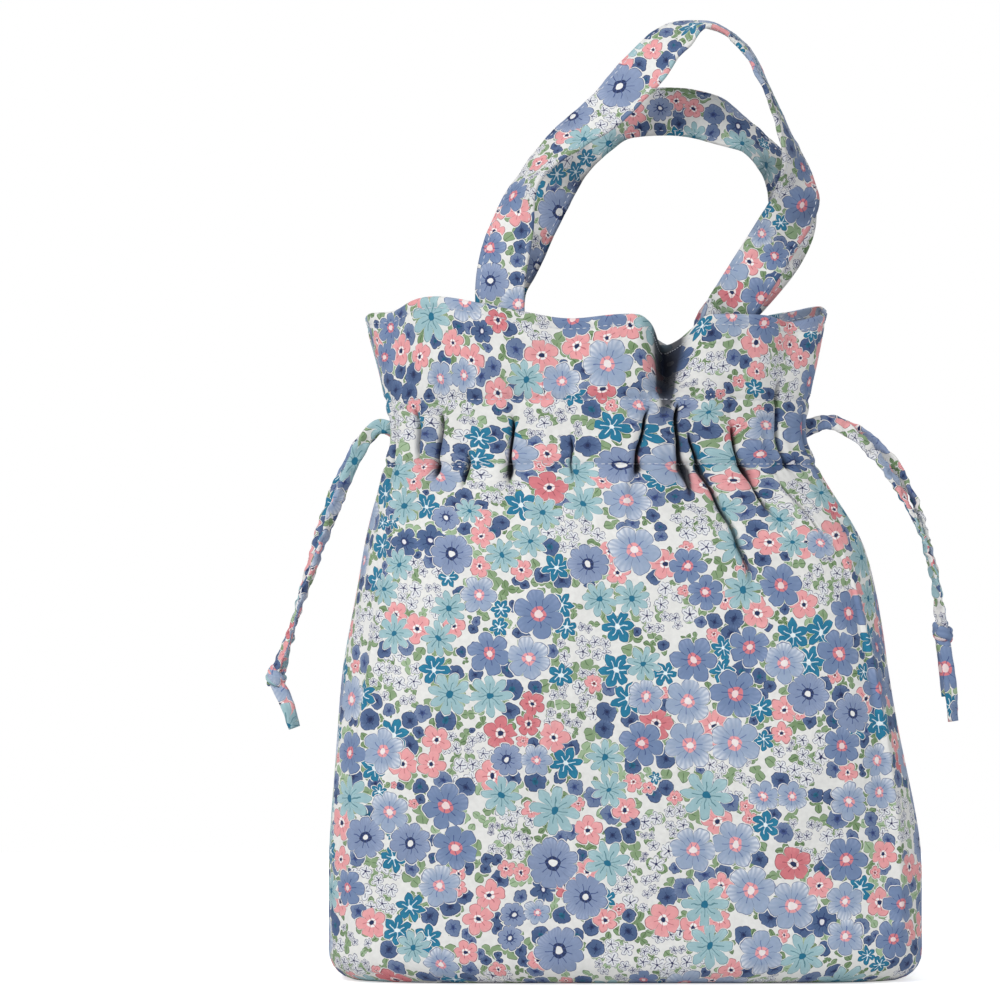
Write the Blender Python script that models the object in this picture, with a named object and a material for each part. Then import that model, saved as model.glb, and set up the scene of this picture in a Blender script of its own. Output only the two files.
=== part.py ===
"""Small drawstring tote bag of printed cotton.

The bag stands upright on its flat base, with its front towards -Y and +Z up.
The origin is the middle of the base. Everything is in metres.

The bag itself is one sewn cloth shell: a boxed lower body, a gathered neck
with a sewn channel, and a ruffled hem above it. Two cloth handles are sewn to
the inside of the hem. Two drawstrings run round the channel, one leaving it
at each side seam, and each is tied into a knot with two loose tails.
"""

import math

import bmesh
import bpy
import numpy as np
from mathutils import Vector

# Heights of the bag, each measured from the one before it
LOW_RISE = 0.040
BELLY_RISE = 0.077
SHOULDER_RISE = 0.058
NECK_RISE = 0.053
RUFFLE_RISE = 0.048

# Widths from side to side and depths from front to back
BASE_WIDTH = 0.248
BASE_DEPTH = 0.100
BELLY_WIDTH = 0.230
BELLY_DEPTH = 0.106
SHOULDER_WIDTH = 0.211
SHOULDER_DEPTH = 0.098
NECK_WIDTH = 0.177
NECK_DEPTH = 0.076
HEM_WIDTH = 0.195
HEM_DEPTH = 0.086

# How far each level stands to the side of the base, because the bag leans
BELLY_SHIFT = -0.003
SHOULDER_SHIFT = -0.0045
NECK_SHIFT = -0.011
HEM_SHIFT = -0.012

# How square the plan is: 2 is an ellipse, and more is boxier
BASE_SQUARENESS = 5.0
BELLY_SQUARENESS = 4.2
SHOULDER_SQUARENESS = 3.2
NECK_SQUARENESS = 2.5
HEM_SQUARENESS = 2.4

BASE_EDGE_RADIUS = 0.012
CLOTH_WALL = 0.0020
SEAT_GAP = 0.0003

# Drawstring channel
CHANNEL_HEIGHT = 0.027
TUNNEL_WIDTH = 0.0066
CORD_DIAMETER = 0.0054
CORD_CLEARANCE = 0.0004
EYELET_CLEARANCE = 0.0009

# Gathers: valleys pressed into the neck by the drawn cords
GATHER_DEPTH = 0.0080
GATHER_WIDTH = 0.0040
GATHER_SPREAD = 1.6
GATHER_FALL = 0.030
GATHER_RISE = 0.017

# Gathers of the back, which follow one another evenly with a slight wander
BACK_GATHERS = 11
BACK_WANDER = 0.22
BACK_DEPTH = 0.72
BACK_DEPTH_CHANGE = 0.28
BACK_FALL = 1.2
BACK_FALL_CHANGE = 0.6

# Ruffle: the free cloth above the channel, which waves in and out
RUFFLE_EASE = 1.5
HEM_DIP = 0.46

# Handles
HANDLE_WIDTH = 0.0205
HANDLE_THICKNESS = 0.0024
HANDLE_RISE = 0.123
HANDLE_SPREAD = 0.0935
HANDLE_CENTRE = -0.0052
HANDLE_TUCK = 0.015

# Places across a handle's foot, and up its tuck, where it follows the wall
ACROSS_PLACES = (-1.0, -0.5, 0.0, 0.5, 1.0)
TUCK_PLACES = (1.0, 0.5, 0.06)

# Knots, and the two tails that fall from each. A tail's root and spread are
# sideways and downwards; its lengths are shares of the side's tail length
KNOT_WIDTH = 0.0125
KNOT_HEIGHT = 0.0135
KNOT_WRAP = 0.10
TAIL_DIAMETER = 0.0052
TAIL_FLATNESS = 0.62
TAIL_LENGTHS = (1.0, 0.72)
TAIL_ROOT = (0.16, 0.12)
TAIL_SPLAY = 0.12
TAIL_CURL = 0.28
TAIL_FOLLOW = 0.35
LEFT_TAIL = 0.019
RIGHT_TAIL = 0.030
LEFT_TAIL_LEAN = 0.38
RIGHT_TAIL_LEAN = 0.06

# Fineness of the meshes
LOW_ROWS = 3
SHOULDER_ROWS = 8
CHANNEL_ROWS = 4
RUFFLE_ROWS = 5
CORNER_ROWS = 3
TUNNEL_STEPS = 36
TURN_OFF_STEPS = 2
HANDLE_STEPS = 40
CORD_SPACING = 0.0115
CURVE_STEPS = 12
ROUND_SIDES = 8
KNOT_RINGS = 9
KNOT_SIDES = 14
PLAN_STEPS = 720
SEARCH_STEPS = 200
SEAT_STEP = 0.002
FLANK = 0.9
CASING_BLEND = 0.25
TUNNEL_CORNER = 0.5
SMOOTH_ANGLE = 40.0

# Levels that follow from the rises above
LOW_LEVEL = LOW_RISE
BELLY_LEVEL = LOW_LEVEL + BELLY_RISE
SHOULDER_LEVEL = BELLY_LEVEL + SHOULDER_RISE
NECK_LEVEL = SHOULDER_LEVEL + NECK_RISE
HEM_LEVEL = NECK_LEVEL + RUFFLE_RISE
CHANNEL_LOW = NECK_LEVEL - CHANNEL_HEIGHT / 2
CHANNEL_HIGH = NECK_LEVEL + CHANNEL_HEIGHT / 2

# Depth of the cords' path below the outermost cloth, and of the channel's inner wall
PATH_INSET = GATHER_DEPTH + CLOTH_WALL / 2 + TUNNEL_WIDTH / 2
CHANNEL_INSET = PATH_INSET + TUNNEL_WIDTH / 2 + CLOTH_WALL / 2

# Front gathers: place from the left seam (-1) to the right seam (1),
# depth and fall as shares of the gather sizes above
FRONT_GATHERS = (
    (-0.80, 0.65, 0.8),
    (-0.63, 1.00, 0.9),
    (-0.50, 0.45, 0.6),
    (-0.34, 0.95, 1.0),
    (-0.19, 0.40, 0.8),
    (-0.04, 0.45, 0.9),
    (0.15, 0.85, 1.1),
    (0.31, 1.00, 1.0),
    (0.41, 0.85, 2.2),
    (0.56, 0.90, 1.5),
    (0.74, 0.90, 0.9),
    (0.90, 0.60, 1.6),
)

# Waves of the ruffle: place, how far the hem folds inward, and half width, in metres
FRONT_WAVES = (
    (-0.78, 0.0050, 0.012),
    (-0.10, 0.0045, 0.014),
    (0.26, 0.0235, 0.0078),
    (0.74, 0.0060, 0.011),
)
BACK_WAVES = (
    (-0.66, 0.0100, 0.011),
    (-0.02, 0.0080, 0.013),
    (0.22, 0.0060, 0.009),
    (0.80, 0.0060, 0.011),
)

# Stretches of the hem that stand up or sag without folding: place, rise and half width
FRONT_LIFTS = (
    (-0.60, 0.0075, 0.030),
    (0.32, -0.0035, 0.0055),
)
BACK_LIFTS = (
    (0.29, -0.0095, 0.009),
    (0.84, 0.0065, 0.021),
)

# Handle routes from the left foot to the right foot. Each point has its place
# between the feet as a share of their spread, its rise as a share of the
# handle's rise, its depth as a share of half the hem's depth, and the turn of
# the band in degrees: 0 faces the front and 90 shows its edge
FRONT_HANDLE_ROUTE = (
    (-0.500, 0.130, -0.824, 0),
    (-0.463, 0.268, -0.715, 18),
    (-0.394, 0.447, -0.586, 62),
    (-0.233, 0.585, -0.472, 50),
    (-0.030, 0.707, -0.372, 32),
    (0.141, 0.846, -0.300, 24),
    (0.270, 0.951, -0.257, 45),
    (0.419, 1.000, -0.229, 80),
    (0.569, 0.939, -0.257, 78),
    (0.676, 0.801, -0.315, 82),
    (0.751, 0.667, -0.400, 78),
    (0.815, 0.520, -0.501, 58),
    (0.812, 0.390, -0.586, 12),
    (0.729, 0.276, -0.624, 0),
    (0.600, 0.122, -0.687, 0),
)
BACK_HANDLE_ROUTE = (
    (-0.490, 0.120, 0.815, 0),
    (-0.418, 0.224, 0.687, 10),
    (-0.308, 0.390, 0.501, 22),
    (-0.175, 0.556, 0.343, 28),
    (-0.062, 0.646, 0.257, 18),
    (0.054, 0.702, 0.186, 6),
    (0.267, 0.715, 0.143, 4),
    (0.444, 0.693, 0.157, 10),
    (0.615, 0.627, 0.229, 48),
    (0.729, 0.546, 0.329, 44),
    (0.804, 0.453, 0.458, 22),
    (0.831, 0.352, 0.515, 8),
    (0.770, 0.235, 0.572, 0),
    (0.640, 0.110, 0.652, 0),
)

# Free strands of the drawstrings, from the side seam down to the knot:
# how far out from the seam and how far above the middle of the channel
LEFT_STRAND = (
    (0.0040, 0.0025),
    (0.0115, -0.0055),
    (0.0180, -0.0180),
    (0.0250, -0.0350),
    (0.0311, -0.0529),
    (0.0367, -0.0700),
    (0.0414, -0.0859),
    (0.0448, -0.0962),
)
RIGHT_STRAND = (
    (0.0075, 0.0045),
    (0.0185, 0.0010),
    (0.0290, -0.0075),
    (0.0370, -0.0179),
    (0.0440, -0.0310),
    (0.0494, -0.0447),
    (0.0535, -0.0611),
    (0.0556, -0.0770),
)
STRAND_SPREAD = 0.0030

# Where a strand turns in to the channel: its place outward from the channel's
# path as a share of the path's inset, and its sideways share of the spread
TURN_IN = (
    (0.95, 1.0),
    (0.45, 1.5),
    (0.00, 2.8),
)

PRINTED_COTTON = (0.47, 0.50, 0.57, 1.0)
PRINTED_TAPE = (0.40, 0.43, 0.52, 1.0)
COTTON_ROUGHNESS = 0.85


def remove_everything():
    for thing in list(bpy.data.objects):
        bpy.data.objects.remove(thing, do_unlink=True)


def cloth_material(name, colour):
    material = bpy.data.materials.new(name)
    material.use_nodes = True
    shader = material.node_tree.nodes["Principled BSDF"]
    shader.inputs["Base Color"].default_value = colour
    shader.inputs["Roughness"].default_value = COTTON_ROUGHNESS
    shader.inputs["Metallic"].default_value = 0.0
    return material


def add_object(name, mesh, material):
    mesh.materials.append(material)
    mesh.shade_smooth()
    mesh.set_sharp_from_angle(angle=math.radians(SMOOTH_ANGLE))
    thing = bpy.data.objects.new(name, mesh)
    bpy.context.scene.collection.objects.link(thing)
    return thing


def smooth_step(low, high, value):
    share = np.clip((value - low) / (high - low), 0.0, 1.0)
    return share * share * (3.0 - 2.0 * share)


def curve_through(stations, at):
    """A smooth curve through (height, value) stations that never overshoots them."""
    heights = np.array([station[0] for station in stations])
    values = np.array([station[1] for station in stations])
    steps = np.diff(heights)
    slopes = np.diff(values) / steps
    tangents = np.zeros(len(values))
    tangents[0] = slopes[0]
    tangents[-1] = slopes[-1]
    for index in range(1, len(values) - 1):
        before = slopes[index - 1]
        after = slopes[index]
        if before * after > 0.0:
            tangents[index] = 2.0 * before * after / (before + after)
    cell = int(np.clip(np.searchsorted(heights, at, side="right") - 1, 0, len(steps) - 1))
    step = steps[cell]
    share = (at - heights[cell]) / step
    rest = 1.0 - share
    from_start = (1.0 + 2.0 * share) * rest * rest * values[cell]
    from_end = share * share * (3.0 - 2.0 * share) * values[cell + 1]
    bend = share * rest * step * (rest * tangents[cell] - share * tangents[cell + 1])
    return from_start + from_end + bend


def plan_at(height):
    """Half width, half depth, sideways shift and squareness of the cloth at a height."""
    levels = (0.0, LOW_LEVEL, BELLY_LEVEL, SHOULDER_LEVEL, NECK_LEVEL, HEM_LEVEL)
    widths = (BASE_WIDTH, BASE_WIDTH, BELLY_WIDTH, SHOULDER_WIDTH, NECK_WIDTH, HEM_WIDTH)
    depths = (BASE_DEPTH, BASE_DEPTH, BELLY_DEPTH, SHOULDER_DEPTH, NECK_DEPTH, HEM_DEPTH)
    shifts = (0.0, 0.0, BELLY_SHIFT, SHOULDER_SHIFT, NECK_SHIFT, HEM_SHIFT)
    squareness = (
        BASE_SQUARENESS,
        BASE_SQUARENESS,
        BELLY_SQUARENESS,
        SHOULDER_SQUARENESS,
        NECK_SQUARENESS,
        HEM_SQUARENESS,
    )
    half_width = curve_through(list(zip(levels, widths)), height) / 2
    half_depth = curve_through(list(zip(levels, depths)), height) / 2
    shift = curve_through(list(zip(levels, shifts)), height)
    square = curve_through(list(zip(levels, squareness)), height)
    return half_width, half_depth, shift, square


def ring_at(half_width, half_depth, square, shares):
    """Points and outward normals of a rounded plan at equal shares of its length.

    Share 0 is the right seam, and the shares go round by the back.
    """
    angles = np.linspace(0.0, 2.0 * math.pi, PLAN_STEPS + 1)
    across = np.abs(np.cos(angles) / half_width) ** square
    along = np.abs(np.sin(angles) / half_depth) ** square
    radius = (across + along) ** (-1.0 / square)
    x = radius * np.cos(angles)
    y = radius * np.sin(angles)
    lengths = np.concatenate(([0.0], np.cumsum(np.hypot(np.diff(x), np.diff(y)))))
    perimeter = lengths[-1]
    places = np.mod(shares, 1.0) * perimeter
    points = np.column_stack((np.interp(places, lengths, x), np.interp(places, lengths, y)))
    ahead = np.mod(places + perimeter / PLAN_STEPS, perimeter)
    behind = np.mod(places - perimeter / PLAN_STEPS, perimeter)
    run_x = np.interp(ahead, lengths, x) - np.interp(behind, lengths, x)
    run_y = np.interp(ahead, lengths, y) - np.interp(behind, lengths, y)
    size = np.hypot(run_x, run_y)
    normals = np.column_stack((run_y / size, -run_x / size))
    return points, normals, perimeter


def front_share(place):
    return (place + 3.0) / 4.0


def back_share(place):
    return (1.0 - place) / 4.0


def all_gathers():
    """Each gather as its share round the bag, its depth and its fall."""
    gathers = [(front_share(place), depth, fall) for place, depth, fall in FRONT_GATHERS]
    for index in range(BACK_GATHERS):
        wander = BACK_WANDER * math.sin(2.4 * index + 0.7)
        place = 2.0 * (index + 0.5 + wander) / BACK_GATHERS - 1.0
        depth = BACK_DEPTH + BACK_DEPTH_CHANGE * math.sin(1.9 * index + 1.0)
        fall = BACK_FALL + BACK_FALL_CHANGE * math.sin(2.7 * index + 2.0)
        gathers.append((back_share(place), depth, fall))
    return sorted(gathers)


def all_waves():
    front = [(front_share(place), depth, half) for place, depth, half in FRONT_WAVES]
    back = [(back_share(place), depth, half) for place, depth, half in BACK_WAVES]
    return front + back


def all_lifts():
    front = [(front_share(place), lift, half) for place, lift, half in FRONT_LIFTS]
    back = [(back_share(place), lift, half) for place, lift, half in BACK_LIFTS]
    return front + back


def valley(shares, centre, half_width, perimeter):
    apart = np.mod(shares - centre + 0.5, 1.0) - 0.5
    return np.exp(-((apart * perimeter / half_width) ** 2))


def gather_depths(shares, height, perimeter):
    """How far the gathers press the cloth inward, never past the full gather depth."""
    below = max(0.0, CHANNEL_LOW - height)
    above = max(0.0, height - CHANNEL_HIGH)
    total = np.zeros(len(shares))
    for centre, depth, fall in all_gathers():
        fade = 1.0 - smooth_step(0.0, GATHER_FALL * fall, below)
        fade *= 1.0 - smooth_step(0.0, GATHER_RISE, above)
        width = GATHER_WIDTH * (1.0 + GATHER_SPREAD * below / GATHER_FALL)
        total += depth * fade * valley(shares, centre, width, perimeter)
    return GATHER_DEPTH * np.tanh(total)


def wave_depths(shares, perimeter):
    """How far the hem folds inward at its free edge."""
    total = np.zeros(len(shares))
    for centre, depth, half_width in all_waves():
        total += depth * valley(shares, centre, half_width, perimeter)
    return total


def ruffle_share(height):
    """How far the ruffle's waves have grown, fastest just above the channel."""
    up = np.clip((height - CHANNEL_HIGH) / (HEM_LEVEL - CHANNEL_HIGH), 0.0, 1.0)
    return 1.0 - (1.0 - up) ** RUFFLE_EASE


def hem_drop(shares, perimeter):
    """How much lower the hem lies where it folds inward, less the stretches that stand up."""
    total = HEM_DIP * wave_depths(shares, perimeter)
    for centre, lift, half_width in all_lifts():
        total -= lift * valley(shares, centre, half_width, perimeter)
    return total


def cloth_row(shares, height):
    """The outer face of the cloth at one nominal height, as a row of points."""
    half_width, half_depth, shift, square = plan_at(height)
    inset = 0.0
    if height < BASE_EDGE_RADIUS:
        drop = 1.0 - height / BASE_EDGE_RADIUS
        inset = BASE_EDGE_RADIUS * (1.0 - math.sqrt(max(0.0, 1.0 - drop * drop)))
    points, normals, perimeter = ring_at(half_width - inset, half_depth - inset, square, shares)
    waved = float(ruffle_share(height))
    inward = gather_depths(shares, height, perimeter) + waved * wave_depths(shares, perimeter)
    lowered = waved * hem_drop(shares, perimeter)
    x = points[:, 0] - normals[:, 0] * inward + shift
    y = points[:, 1] - normals[:, 1] * inward
    return np.column_stack((x, y, height - lowered))


def channel_wall_row(shares, height):
    """The inner wall of the drawstring channel, which is gathered less than the outside."""
    half_width, half_depth, shift, square = plan_at(height)
    sizes = (half_width - CHANNEL_INSET, half_depth - CHANNEL_INSET, square)
    points, normals, perimeter = ring_at(*sizes, shares)
    pressed = gather_depths(shares, height, perimeter) * CLOTH_WALL / GATHER_DEPTH
    x = points[:, 0] + normals[:, 0] * (pressed - CLOTH_WALL) + shift
    y = points[:, 1] + normals[:, 1] * (pressed - CLOTH_WALL)
    return np.column_stack((x, y, np.full(len(shares), height)))


def row_heights():
    corner = [
        BASE_EDGE_RADIUS * (1.0 - math.cos(math.radians(90.0 * step / CORNER_ROWS)))
        for step in range(CORNER_ROWS)
    ]
    low = np.linspace(BASE_EDGE_RADIUS, BELLY_LEVEL, LOW_ROWS, endpoint=False)
    shoulder = np.linspace(BELLY_LEVEL, CHANNEL_LOW, SHOULDER_ROWS, endpoint=False)
    channel = np.linspace(CHANNEL_LOW, CHANNEL_HIGH, CHANNEL_ROWS, endpoint=False)
    ruffle = np.linspace(CHANNEL_HIGH, HEM_LEVEL, RUFFLE_ROWS + 1)
    return [*corner, *low, *shoulder, *channel, *ruffle]


def column_shares():
    """Columns at each gather's valley, on its two flanks and on the ridge beside it."""
    half_width, half_depth, _, square = plan_at(NECK_LEVEL)
    perimeter = ring_at(half_width, half_depth, square, np.zeros(1))[2]
    flank = FLANK * GATHER_WIDTH / perimeter
    centres = [gather[0] for gather in all_gathers()]
    shares = []
    for index, centre in enumerate(centres):
        following = centres[(index + 1) % len(centres)]
        if following < centre:
            following += 1.0
        ridge = (centre + following) / 2
        shares.extend((centre - flank, centre, centre + flank, ridge))
    return np.array(shares)


def grid_normals(grid):
    """Outward normals of a grid of rows that go round the bag."""
    around = np.roll(grid, -1, axis=1) - np.roll(grid, 1, axis=1)
    upward = np.gradient(grid, axis=0)
    normals = np.cross(around, upward)
    normals /= np.linalg.norm(normals, axis=2, keepdims=True)
    normals[0] = (0.0, 0.0, -1.0)
    return normals


def body_grids(shares, heights):
    """The outer and inner faces of the cloth shell."""
    outer = np.array([cloth_row(shares, height) for height in heights])
    inner = outer - CLOTH_WALL * grid_normals(outer)
    margin = CHANNEL_HEIGHT * CASING_BLEND
    for index, height in enumerate(heights):
        entering = smooth_step(CHANNEL_LOW - margin, CHANNEL_LOW + margin, height)
        leaving = smooth_step(CHANNEL_HIGH - margin, CHANNEL_HIGH + margin, height)
        weight = float(entering * (1.0 - leaving))
        if weight > 0.0:
            casing = channel_wall_row(shares, height)
            inner[index] = (1.0 - weight) * inner[index] + weight * casing
    return outer, inner


def add_grid(mesh, grid):
    return [[mesh.verts.new(point) for point in row] for row in grid]


def bridge_rows(mesh, low, high, outward=True):
    count = len(low)
    for index in range(count):
        following = (index + 1) % count
        face = (low[index], low[following], high[following], high[index])
        mesh.faces.new(face if outward else face[::-1])


def close_row(mesh, row, upward):
    middle = sum((vert.co for vert in row), Vector()) / len(row)
    centre = mesh.verts.new(middle)
    for index, vert in enumerate(row):
        following = row[(index + 1) % len(row)]
        face = (vert, following, centre)
        mesh.faces.new(face if upward else face[::-1])


def finish_mesh(name, mesh):
    bmesh.ops.recalc_face_normals(mesh, faces=mesh.faces)
    data = bpy.data.meshes.new(name)
    mesh.to_mesh(data)
    mesh.free()
    return data


def sweep(mesh, rows):
    """A closed skin over rows of points, either a ring or a bar with capped ends."""
    verts = add_grid(mesh, rows)
    for low, high in zip(verts[:-1], verts[1:]):
        bridge_rows(mesh, low, high)
    return verts


def channel_ring():
    """The path of the cords round the neck, as points with outward normals."""
    half_width, half_depth, shift, square = plan_at(NECK_LEVEL)
    shares = np.arange(TUNNEL_STEPS) / TUNNEL_STEPS
    sizes = (half_width - PATH_INSET, half_depth - PATH_INSET, square)
    points, normals, _ = ring_at(*sizes, shares)
    return points + np.array((shift, 0.0)), normals


def tunnel_mesh():
    """The hollow of the channel: a tall slot swept round the neck.

    It holds the two cords one above the other, with a clearance between them
    and one at each end.
    """
    points, normals = channel_ring()
    half = TUNNEL_WIDTH / 2
    tall = (2 * CORD_DIAMETER + 3 * CORD_CLEARANCE) / 2
    corner = half * TUNNEL_CORNER
    section = (
        (half, corner - tall),
        (half, tall - corner),
        (half - corner, tall),
        (corner - half, tall),
        (-half, tall - corner),
        (-half, corner - tall),
        (corner - half, -tall),
        (half - corner, -tall),
    )
    mesh = bmesh.new()
    rows = []
    for point, normal in zip(points, normals):
        row = []
        for outward, upward in section:
            x = point[0] + normal[0] * outward
            y = point[1] + normal[1] * outward
            row.append((x, y, NECK_LEVEL + upward))
        rows.append(row)
    verts = sweep(mesh, rows)
    bridge_rows(mesh, verts[-1], verts[0])
    return finish_mesh("channel_tunnel", mesh)


def round_rows(points, radius, flatness=1.0):
    """Rings of points round a path, for a tube that lies mostly in the plane of X and Z."""
    path = np.array(points)
    runs = np.gradient(path, axis=0)
    turns = [2.0 * math.pi * (step + 0.5) / ROUND_SIDES for step in range(ROUND_SIDES)]
    rows = []
    for point, run in zip(path, runs):
        run = run / np.linalg.norm(run)
        upright = (0.0, 1.0, 0.0)
        if abs(np.dot(run, upright)) > math.sqrt(0.5):
            upright = (0.0, 0.0, 1.0)
        across = np.cross(run, upright)
        across = across / np.linalg.norm(across)
        forward = np.cross(run, across) * flatness
        row = []
        for turn in turns:
            row.append(point + radius * (across * math.cos(turn) + forward * math.sin(turn)))
        rows.append(row)
    return rows


def capped_tube(name, rows):
    mesh = bmesh.new()
    verts = sweep(mesh, rows)
    mesh.faces.new(verts[0])
    mesh.faces.new(verts[-1])
    return finish_mesh(name, mesh)


def eyelet_mesh(side, strand, lane):
    """The way out of the tunnel at a side seam for one strand of a drawstring."""
    leading = leading_route(side, strand)
    half_width, _, shift, _ = plan_at(NECK_LEVEL)
    reach = half_width + GATHER_DEPTH
    inside = [point for point in leading if abs(point[0] - shift) < reach]
    first = len(leading) - len(inside) - 1
    points = [(x, lane * y, z) for x, y, z in leading[max(first, 0):]]
    return capped_tube("side_eyelet", round_rows(points, CORD_DIAMETER / 2 + EYELET_CLEARANCE))


def add_cutter(thing, name, mesh):
    cutter = bpy.data.objects.new(name, mesh)
    bpy.context.scene.collection.objects.link(cutter)
    cutter.hide_render = True
    cutter.display_type = "WIRE"
    cut = thing.modifiers.new(name, "BOOLEAN")
    cut.operation = "DIFFERENCE"
    cut.solver = "EXACT"
    cut.object = cutter


def make_bag_body(material):
    shares = column_shares()
    outer, inner = body_grids(shares, row_heights())
    mesh = bmesh.new()
    outside = sweep(mesh, outer)
    inside = add_grid(mesh, inner)
    for low, high in zip(inside[:-1], inside[1:]):
        bridge_rows(mesh, low, high, outward=False)
    bridge_rows(mesh, outside[-1], inside[-1])
    close_row(mesh, outside[0], upward=False)
    close_row(mesh, inside[0], upward=True)
    body = add_object("bag_body", finish_mesh("bag_body", mesh), material)
    add_cutter(body, "cut_tunnel", tunnel_mesh())
    for side, strand in ((-1, LEFT_STRAND), (1, RIGHT_STRAND)):
        for lane in (-1, 1):
            add_cutter(body, f"cut_eyelet_{side}_{lane}", eyelet_mesh(side, strand, lane))
    return body


def spline_points(points, spacing):
    """Points at an even spacing along a smooth curve through the given points."""
    knots = np.array(points)
    padded = np.vstack((2 * knots[0] - knots[1], knots, 2 * knots[-1] - knots[-2]))
    curve = []
    for index in range(1, len(padded) - 2):
        before, start, end, after = padded[index - 1:index + 3]
        for share in np.linspace(0.0, 1.0, CURVE_STEPS, endpoint=False):
            lead = (end - before) / 2
            trail = (after - start) / 2
            rest = 1.0 - share
            point = (1 + 2 * share) * rest ** 2 * start + share ** 2 * (3 - 2 * share) * end
            point = point + share * rest * (rest * lead - share * trail)
            curve.append(point)
    curve.append(knots[-1])
    curve = np.array(curve)
    runs = np.linalg.norm(np.diff(curve[:, :3], axis=0), axis=1)
    lengths = np.concatenate(([0.0], np.cumsum(runs)))
    count = max(2, round(lengths[-1] / spacing))
    places = np.linspace(0.0, lengths[-1], count + 1)
    columns = [np.interp(places, lengths, column) for column in curve.T]
    return np.column_stack(columns)


def seat_frame(side_share, height):
    """A point on the cloth's outer face in the ruffle, with its outward normal."""
    shares = np.array([side_share - SEAT_STEP, side_share, side_share + SEAT_STEP])
    here = cloth_row(shares, height)
    above = cloth_row(shares, height + CLOTH_WALL / 4)
    normal = np.cross(here[2] - here[0], above[1] - here[1])
    return here[1], normal / np.linalg.norm(normal)


def wall_drops(side_share, height, turned, perimeter):
    """How far the wall curves back from its middle, at places across a handle's foot."""
    half = HANDLE_WIDTH / 2 / perimeter
    points = cloth_row(side_share + turned * half * np.array(ACROSS_PLACES), height)
    middle, normal = seat_frame(side_share, height)
    return [float(np.dot(middle - point, normal)) for point in points]


def share_at_x(x, to_share):
    """The share round the front or back of the hem that lies at a given x."""
    places = np.linspace(-1.0, 1.0, SEARCH_STEPS)
    row = cloth_row(to_share(places), HEM_LEVEL - HANDLE_TUCK / 2)
    return float(to_share(np.interp(x, row[:, 0], places)))


def handle_path(route, to_share, side):
    """Centre points, facing directions and cross bends of a handle, from foot to foot.

    The side is 1 for the handle inside the front of the hem and -1 for the back.
    """
    stations = []
    feet = []
    half_width, half_depth, _, square = plan_at(HEM_LEVEL)
    perimeter = ring_at(half_width, half_depth, square, np.zeros(1))[2]
    for end in (-1, 1):
        foot_x = HANDLE_CENTRE + end * HANDLE_SPREAD / 2
        share = share_at_x(foot_x, to_share)
        foot = []
        for tuck in TUCK_PLACES:
            level = HEM_LEVEL - tuck * HANDLE_TUCK
            point, normal = seat_frame(share, level)
            inward = CLOTH_WALL + SEAT_GAP + HANDLE_THICKNESS / 2
            facing = side * normal
            drops = wall_drops(share, level, -side * end, perimeter)
            drops = [side * drop for drop in drops]
            foot.append(np.concatenate((point - normal * inward, facing, drops)))
        feet.append(foot)
    stations.extend(feet[0])
    points = []
    for place, rise, depth, _ in route:
        x = HANDLE_CENTRE + place * HANDLE_SPREAD
        y = depth * HEM_DEPTH / 2
        points.append((x, y, HEM_LEVEL + rise * HANDLE_RISE))
    for index, (_, _, _, turn) in enumerate(route):
        before = points[max(index - 1, 0)]
        after = points[min(index + 1, len(points) - 1)]
        run_x = after[0] - before[0]
        run_z = after[2] - before[2]
        size = math.hypot(run_x, run_z)
        angle = math.radians(turn)
        facing = (-run_z / size * math.sin(angle), -math.cos(angle), run_x / size * math.sin(angle))
        stations.append(np.array((*points[index], *facing, *(0.0 for _ in ACROSS_PLACES))))
    stations.extend(reversed(feet[1]))
    return stations


def make_handle(name, route, to_share, side, material):
    stations = handle_path(route, to_share, side)
    length = HANDLE_RISE * 2 + HANDLE_SPREAD
    path = spline_points(stations, length / HANDLE_STEPS)
    centres = path[:, :3]
    facings = path[:, 3:6]
    bends = path[:, 6:]
    runs = np.gradient(centres, axis=0)
    half = HANDLE_WIDTH / 2
    thick = HANDLE_THICKNESS / 2
    flat = half - thick
    section = [(-half, 0.0)]
    section.extend((share * flat, thick) for share in ACROSS_PLACES)
    section.append((half, 0.0))
    section.extend((share * flat, -thick) for share in reversed(ACROSS_PLACES))
    mesh = bmesh.new()
    rows = []
    for centre, facing, bend, run in zip(centres, facings, bends, runs):
        run = run / np.linalg.norm(run)
        facing = facing - run * np.dot(facing, run)
        facing = facing / np.linalg.norm(facing)
        across = np.cross(run, facing)
        row = []
        for reach, out in section:
            drop = np.interp(reach / half, ACROSS_PLACES, bend)
            row.append(centre + across * reach + facing * (out - drop))
        rows.append(row)
    verts = sweep(mesh, rows)
    mesh.faces.new(verts[0])
    mesh.faces.new(verts[-1])
    return add_object(name, finish_mesh(name, mesh), material)


def lane_level(side):
    """The left cord runs in the upper lane of the channel and the right one in the lower."""
    return NECK_LEVEL - side * (CORD_DIAMETER + CORD_CLEARANCE) / 2


def strand_place(side, point):
    """Where a strand's point lies, as x and z, measured from its side seam at the neck."""
    half_width, _, shift, _ = plan_at(NECK_LEVEL)
    return shift + side * (half_width + point[0]), NECK_LEVEL + point[1]


def leading_route(side, strand):
    """One strand from the knot up to the side seam and in to the channel, at y above zero."""
    points, _ = channel_ring()
    level = lane_level(side)
    end = 0 if side > 0 else TUNNEL_STEPS // 2
    leave = points[(end + side * TURN_OFF_STEPS) % TUNNEL_STEPS]
    tip = points[end]
    route = []
    for point in reversed(strand):
        x, z = strand_place(side, point)
        route.append((x, STRAND_SPREAD, z))
    for outward, sideways in TURN_IN:
        x = tip[0] + side * outward * PATH_INSET
        route.append((x, sideways * STRAND_SPREAD, level))
    route.append((leave[0], abs(leave[1]), level))
    return spline_points(route, CORD_SPACING)


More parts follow.
